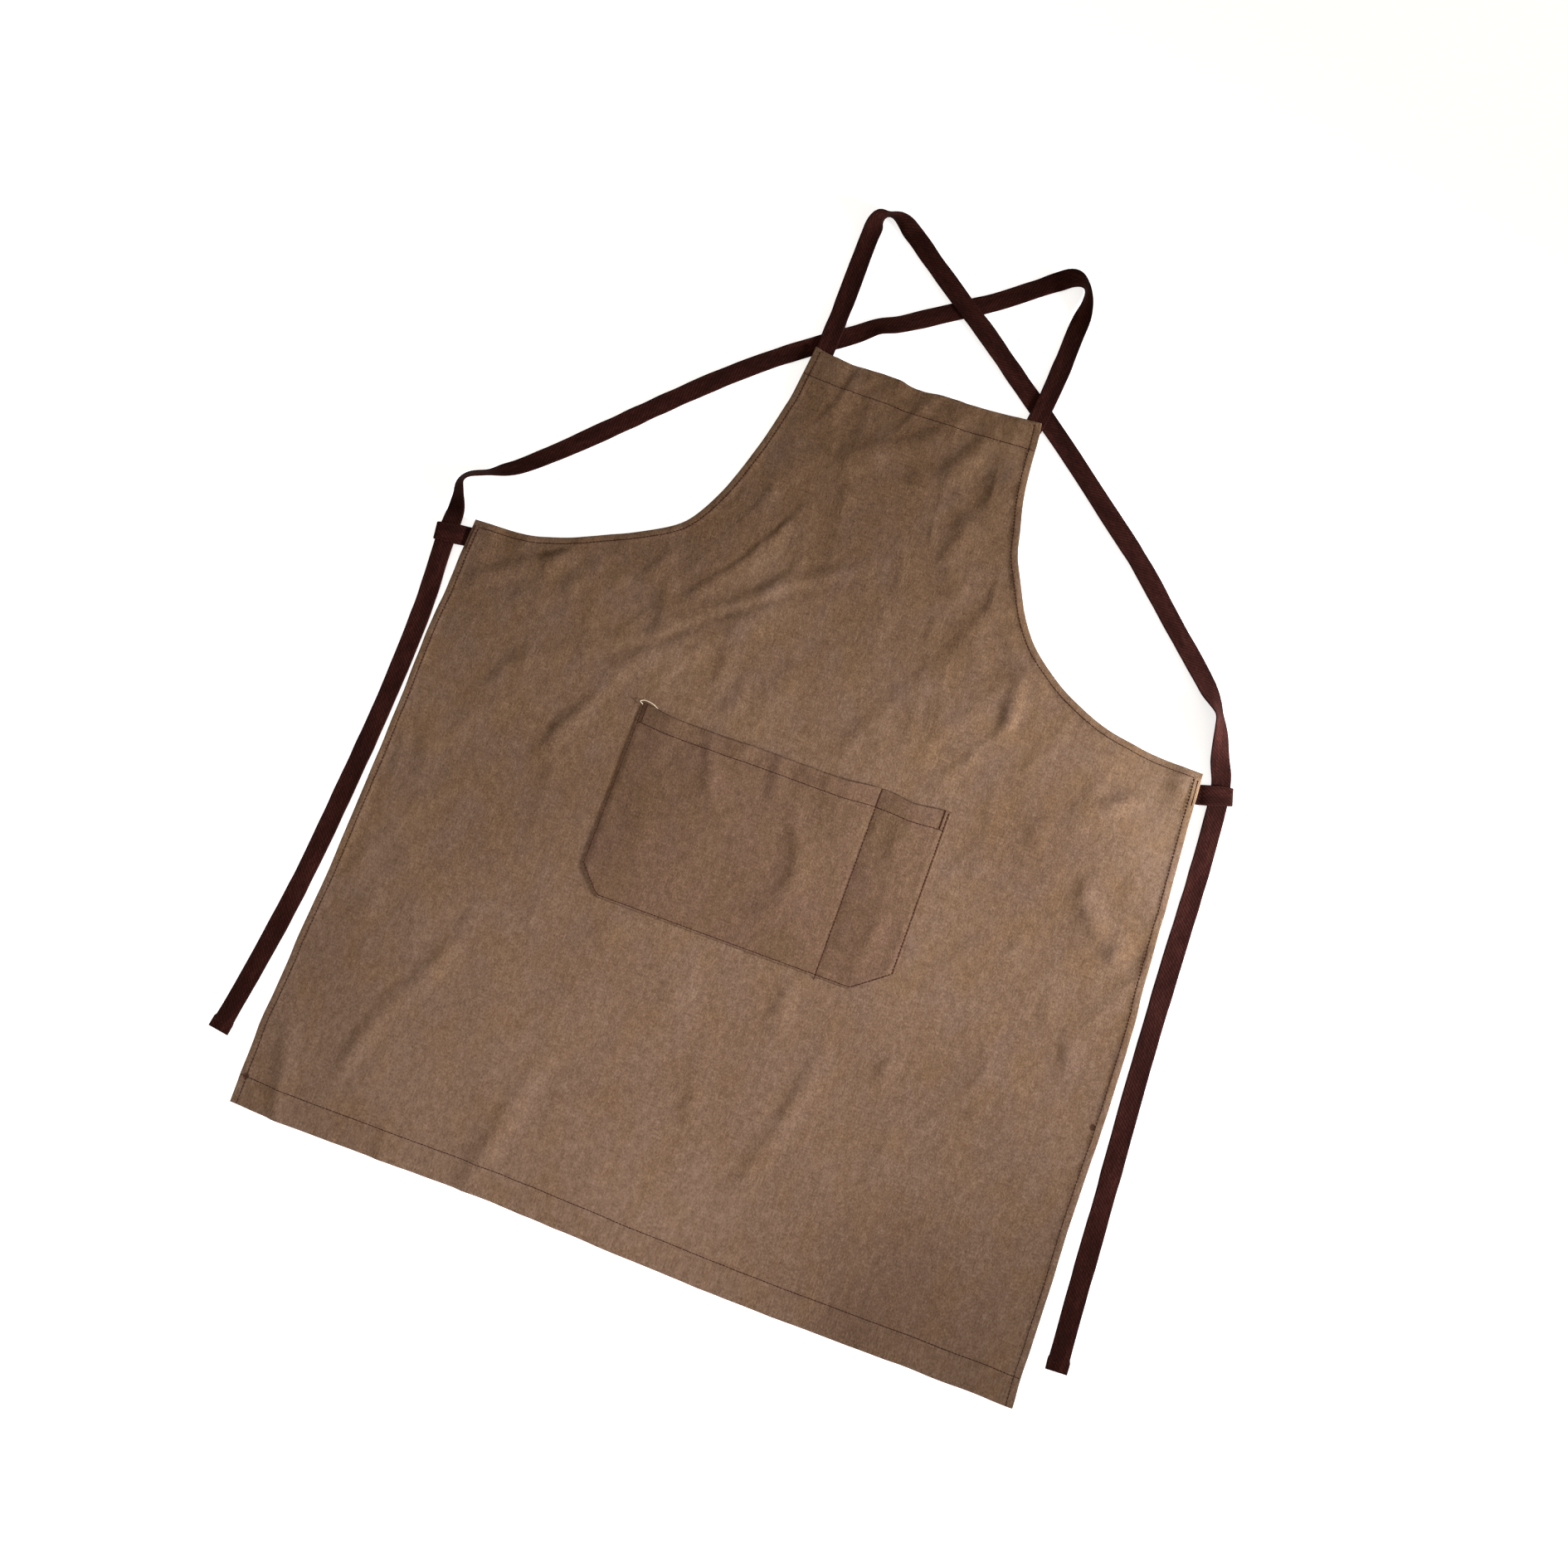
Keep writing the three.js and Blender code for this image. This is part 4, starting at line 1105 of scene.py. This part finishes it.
def floor_material():
    shader = Shader("pale_floor")
    pale = shader.ramp(shader.speckle(3), [(0.3, (0.9, 0.9, 0.9, 1)), (0.7, (0.92, 0.92, 0.92, 1))])
    shader.surface.inputs["Emission Color"].default_value = (1, 1, 1, 1)
    shader.surface.inputs["Emission Strength"].default_value = FLOOR_GLOW
    return shader.finish(pale, rough=0.9, specular=0.1)


def area_light(lamp):
    data = bpy.data.lights.new(lamp.name, "AREA")
    data.color = lamp.colour
    data.shape = "DISK"
    data.size = lamp.diameter
    data.energy = lamp.power
    data.spread = math.radians(lamp.spread)
    light = add_object(lamp.name, data)
    place = Vector(to_frame(lamp.place))
    light.location = place
    light.rotation_euler = (Vector(to_frame(lamp.target)) - place).to_track_quat("-Z", "Y").to_euler()


# Materials
canvas = canvas_material(
    "canvas",
    [(0.17, linear(77, 54, 36)), (0.47, linear(113, 86, 63)), (0.77, linear(148, 118, 90))],
    [(0.17, linear(79, 57, 43)), (0.47, linear(112, 87, 70)), (0.77, linear(146, 119, 100))],
)
# The pocket's canvas, with a painted shade line just under its folded mouth
pocket_canvas = canvas_material(
    "pocket_canvas",
    [(0.17, linear(68, 48, 32)), (0.47, linear(103, 78, 57)), (0.77, linear(135, 107, 84))],
    [(0.17, linear(69, 49, 37)), (0.47, linear(103, 77, 61)), (0.77, linear(135, 106, 88))],
    POCKET_TOP,
)
tape = tape_material("tape", [(0.2, linear(25, 11, 8)), (0.5, linear(46, 21, 17)), (0.8, linear(70, 36, 30))])
thread = thread_material("thread", linear(42, 18, 13), linear(68, 34, 25))
pale_thread = thread_material("pale_thread", linear(196, 176, 150), linear(228, 212, 188))

# Floor
floor_mesh = bpy.data.meshes.new("floor")
corner_signs = [(-1, -1), (1, -1), (1, 1), (-1, 1)]
floor_corners = [(FLOOR_HALF * x, FLOOR_HALF * y, -FLOOR_DROP) for x, y in corner_signs]
floor_mesh.from_pydata(floor_corners, [], [(0, 1, 2, 3)])
floor = add_object("floor", floor_mesh)
floor_mesh.materials.append(floor_material())

# The cloth and tape pieces
panel, panel_paths, panel_area = make_panel()
pocket, pocket_rows, pocket_tacks = make_pocket()
strap_left, left_end, left_length = make_strap("strap_left_tape", LEFT_STRAP, 80)
strap_right, right_end, right_length = make_strap("strap_right_tape", RIGHT_STRAP, 90)
loop_left, loop_length = make_loop("loop_left_tape", LOOPS["left"])
loop_right, _ = make_loop("loop_right_tape", LOOPS["right"])

# Stitches and thread ends
panel_thread = thread_piece("panel_stitches", list(panel_paths.values()), loop_tacks())
pocket_thread = thread_piece("pocket_stitches", pocket_rows, pocket_tacks)
strap_left_thread = thread_piece("strap_left_stitches", [left_end])
strap_right_thread = thread_piece("strap_right_stitches", [right_end])
bed_z = float(pocket_bottom_height(*np.array(TAIL_BED))) + CLOTH
tail_points = [(TAIL_ROOT[0] + x, TAIL_ROOT[1] + y, bed_z + z) for x, y, z in TAIL]
pocket_tail = loose_thread("pocket_thread_end", tail_points)

PIECES = [
    (panel, "panel", "canvas", canvas),
    (pocket, "pocket", "pocket_canvas", pocket_canvas),
    (strap_left, "strap_left", "tape", tape),
    (strap_right, "strap_right", "tape", tape),
    (loop_left, "loop_left", "tape", tape),
    (loop_right, "loop_right", "tape", tape),
    (panel_thread, None, "tape", thread),
    (pocket_thread, None, "tape", thread),
    (strap_left_thread, None, "tape", thread),
    (strap_right_thread, None, "tape", thread),
    (pocket_tail, None, "canvas", pale_thread),
]
for piece, node, slot, material in PIECES:
    piece.data.materials.append(material)
    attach(piece, "root")
    if node:
        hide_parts(node)

# Camera
elevation = math.radians(CAMERA_ELEVATION)
azimuth = math.radians(CAMERA_AZIMUTH)
roll = math.radians(CAMERA_ROLL)
outward = math.cos(elevation)
back = Vector((math.sin(azimuth) * outward, -math.cos(azimuth) * outward, math.sin(elevation)))
level = Vector((math.cos(azimuth), math.sin(azimuth), 0))
upward = back.cross(level)
right_axis = math.cos(roll) * level + math.sin(roll) * upward
up_axis = back.cross(right_axis)
aim = Vector(to_frame([*CAMERA_AIM, 0]))
camera_data = bpy.data.cameras.new("camera")
camera = add_object("camera", camera_data)
camera_data.sensor_width = SENSOR
camera_data.lens = CAMERA_FOCAL_PIXELS / PHOTO_PIXELS * SENSOR
camera.matrix_world = Matrix((right_axis, up_axis, back)).transposed().to_4x4()
camera.location = aim + back * CAMERA_DISTANCE * MM
scene = bpy.context.scene
scene.camera = camera

# Light
world = bpy.data.worlds.new("studio")
scene.world = world
world.use_nodes = True
world.node_tree.nodes["Background"].inputs["Color"].default_value = WORLD_COLOUR
world.node_tree.nodes["Background"].inputs["Strength"].default_value = WORLD_STRENGTH
for lamp in LAMPS:
    area_light(lamp)
scene.view_settings.view_transform = "Standard"
scene.view_settings.look = "None"
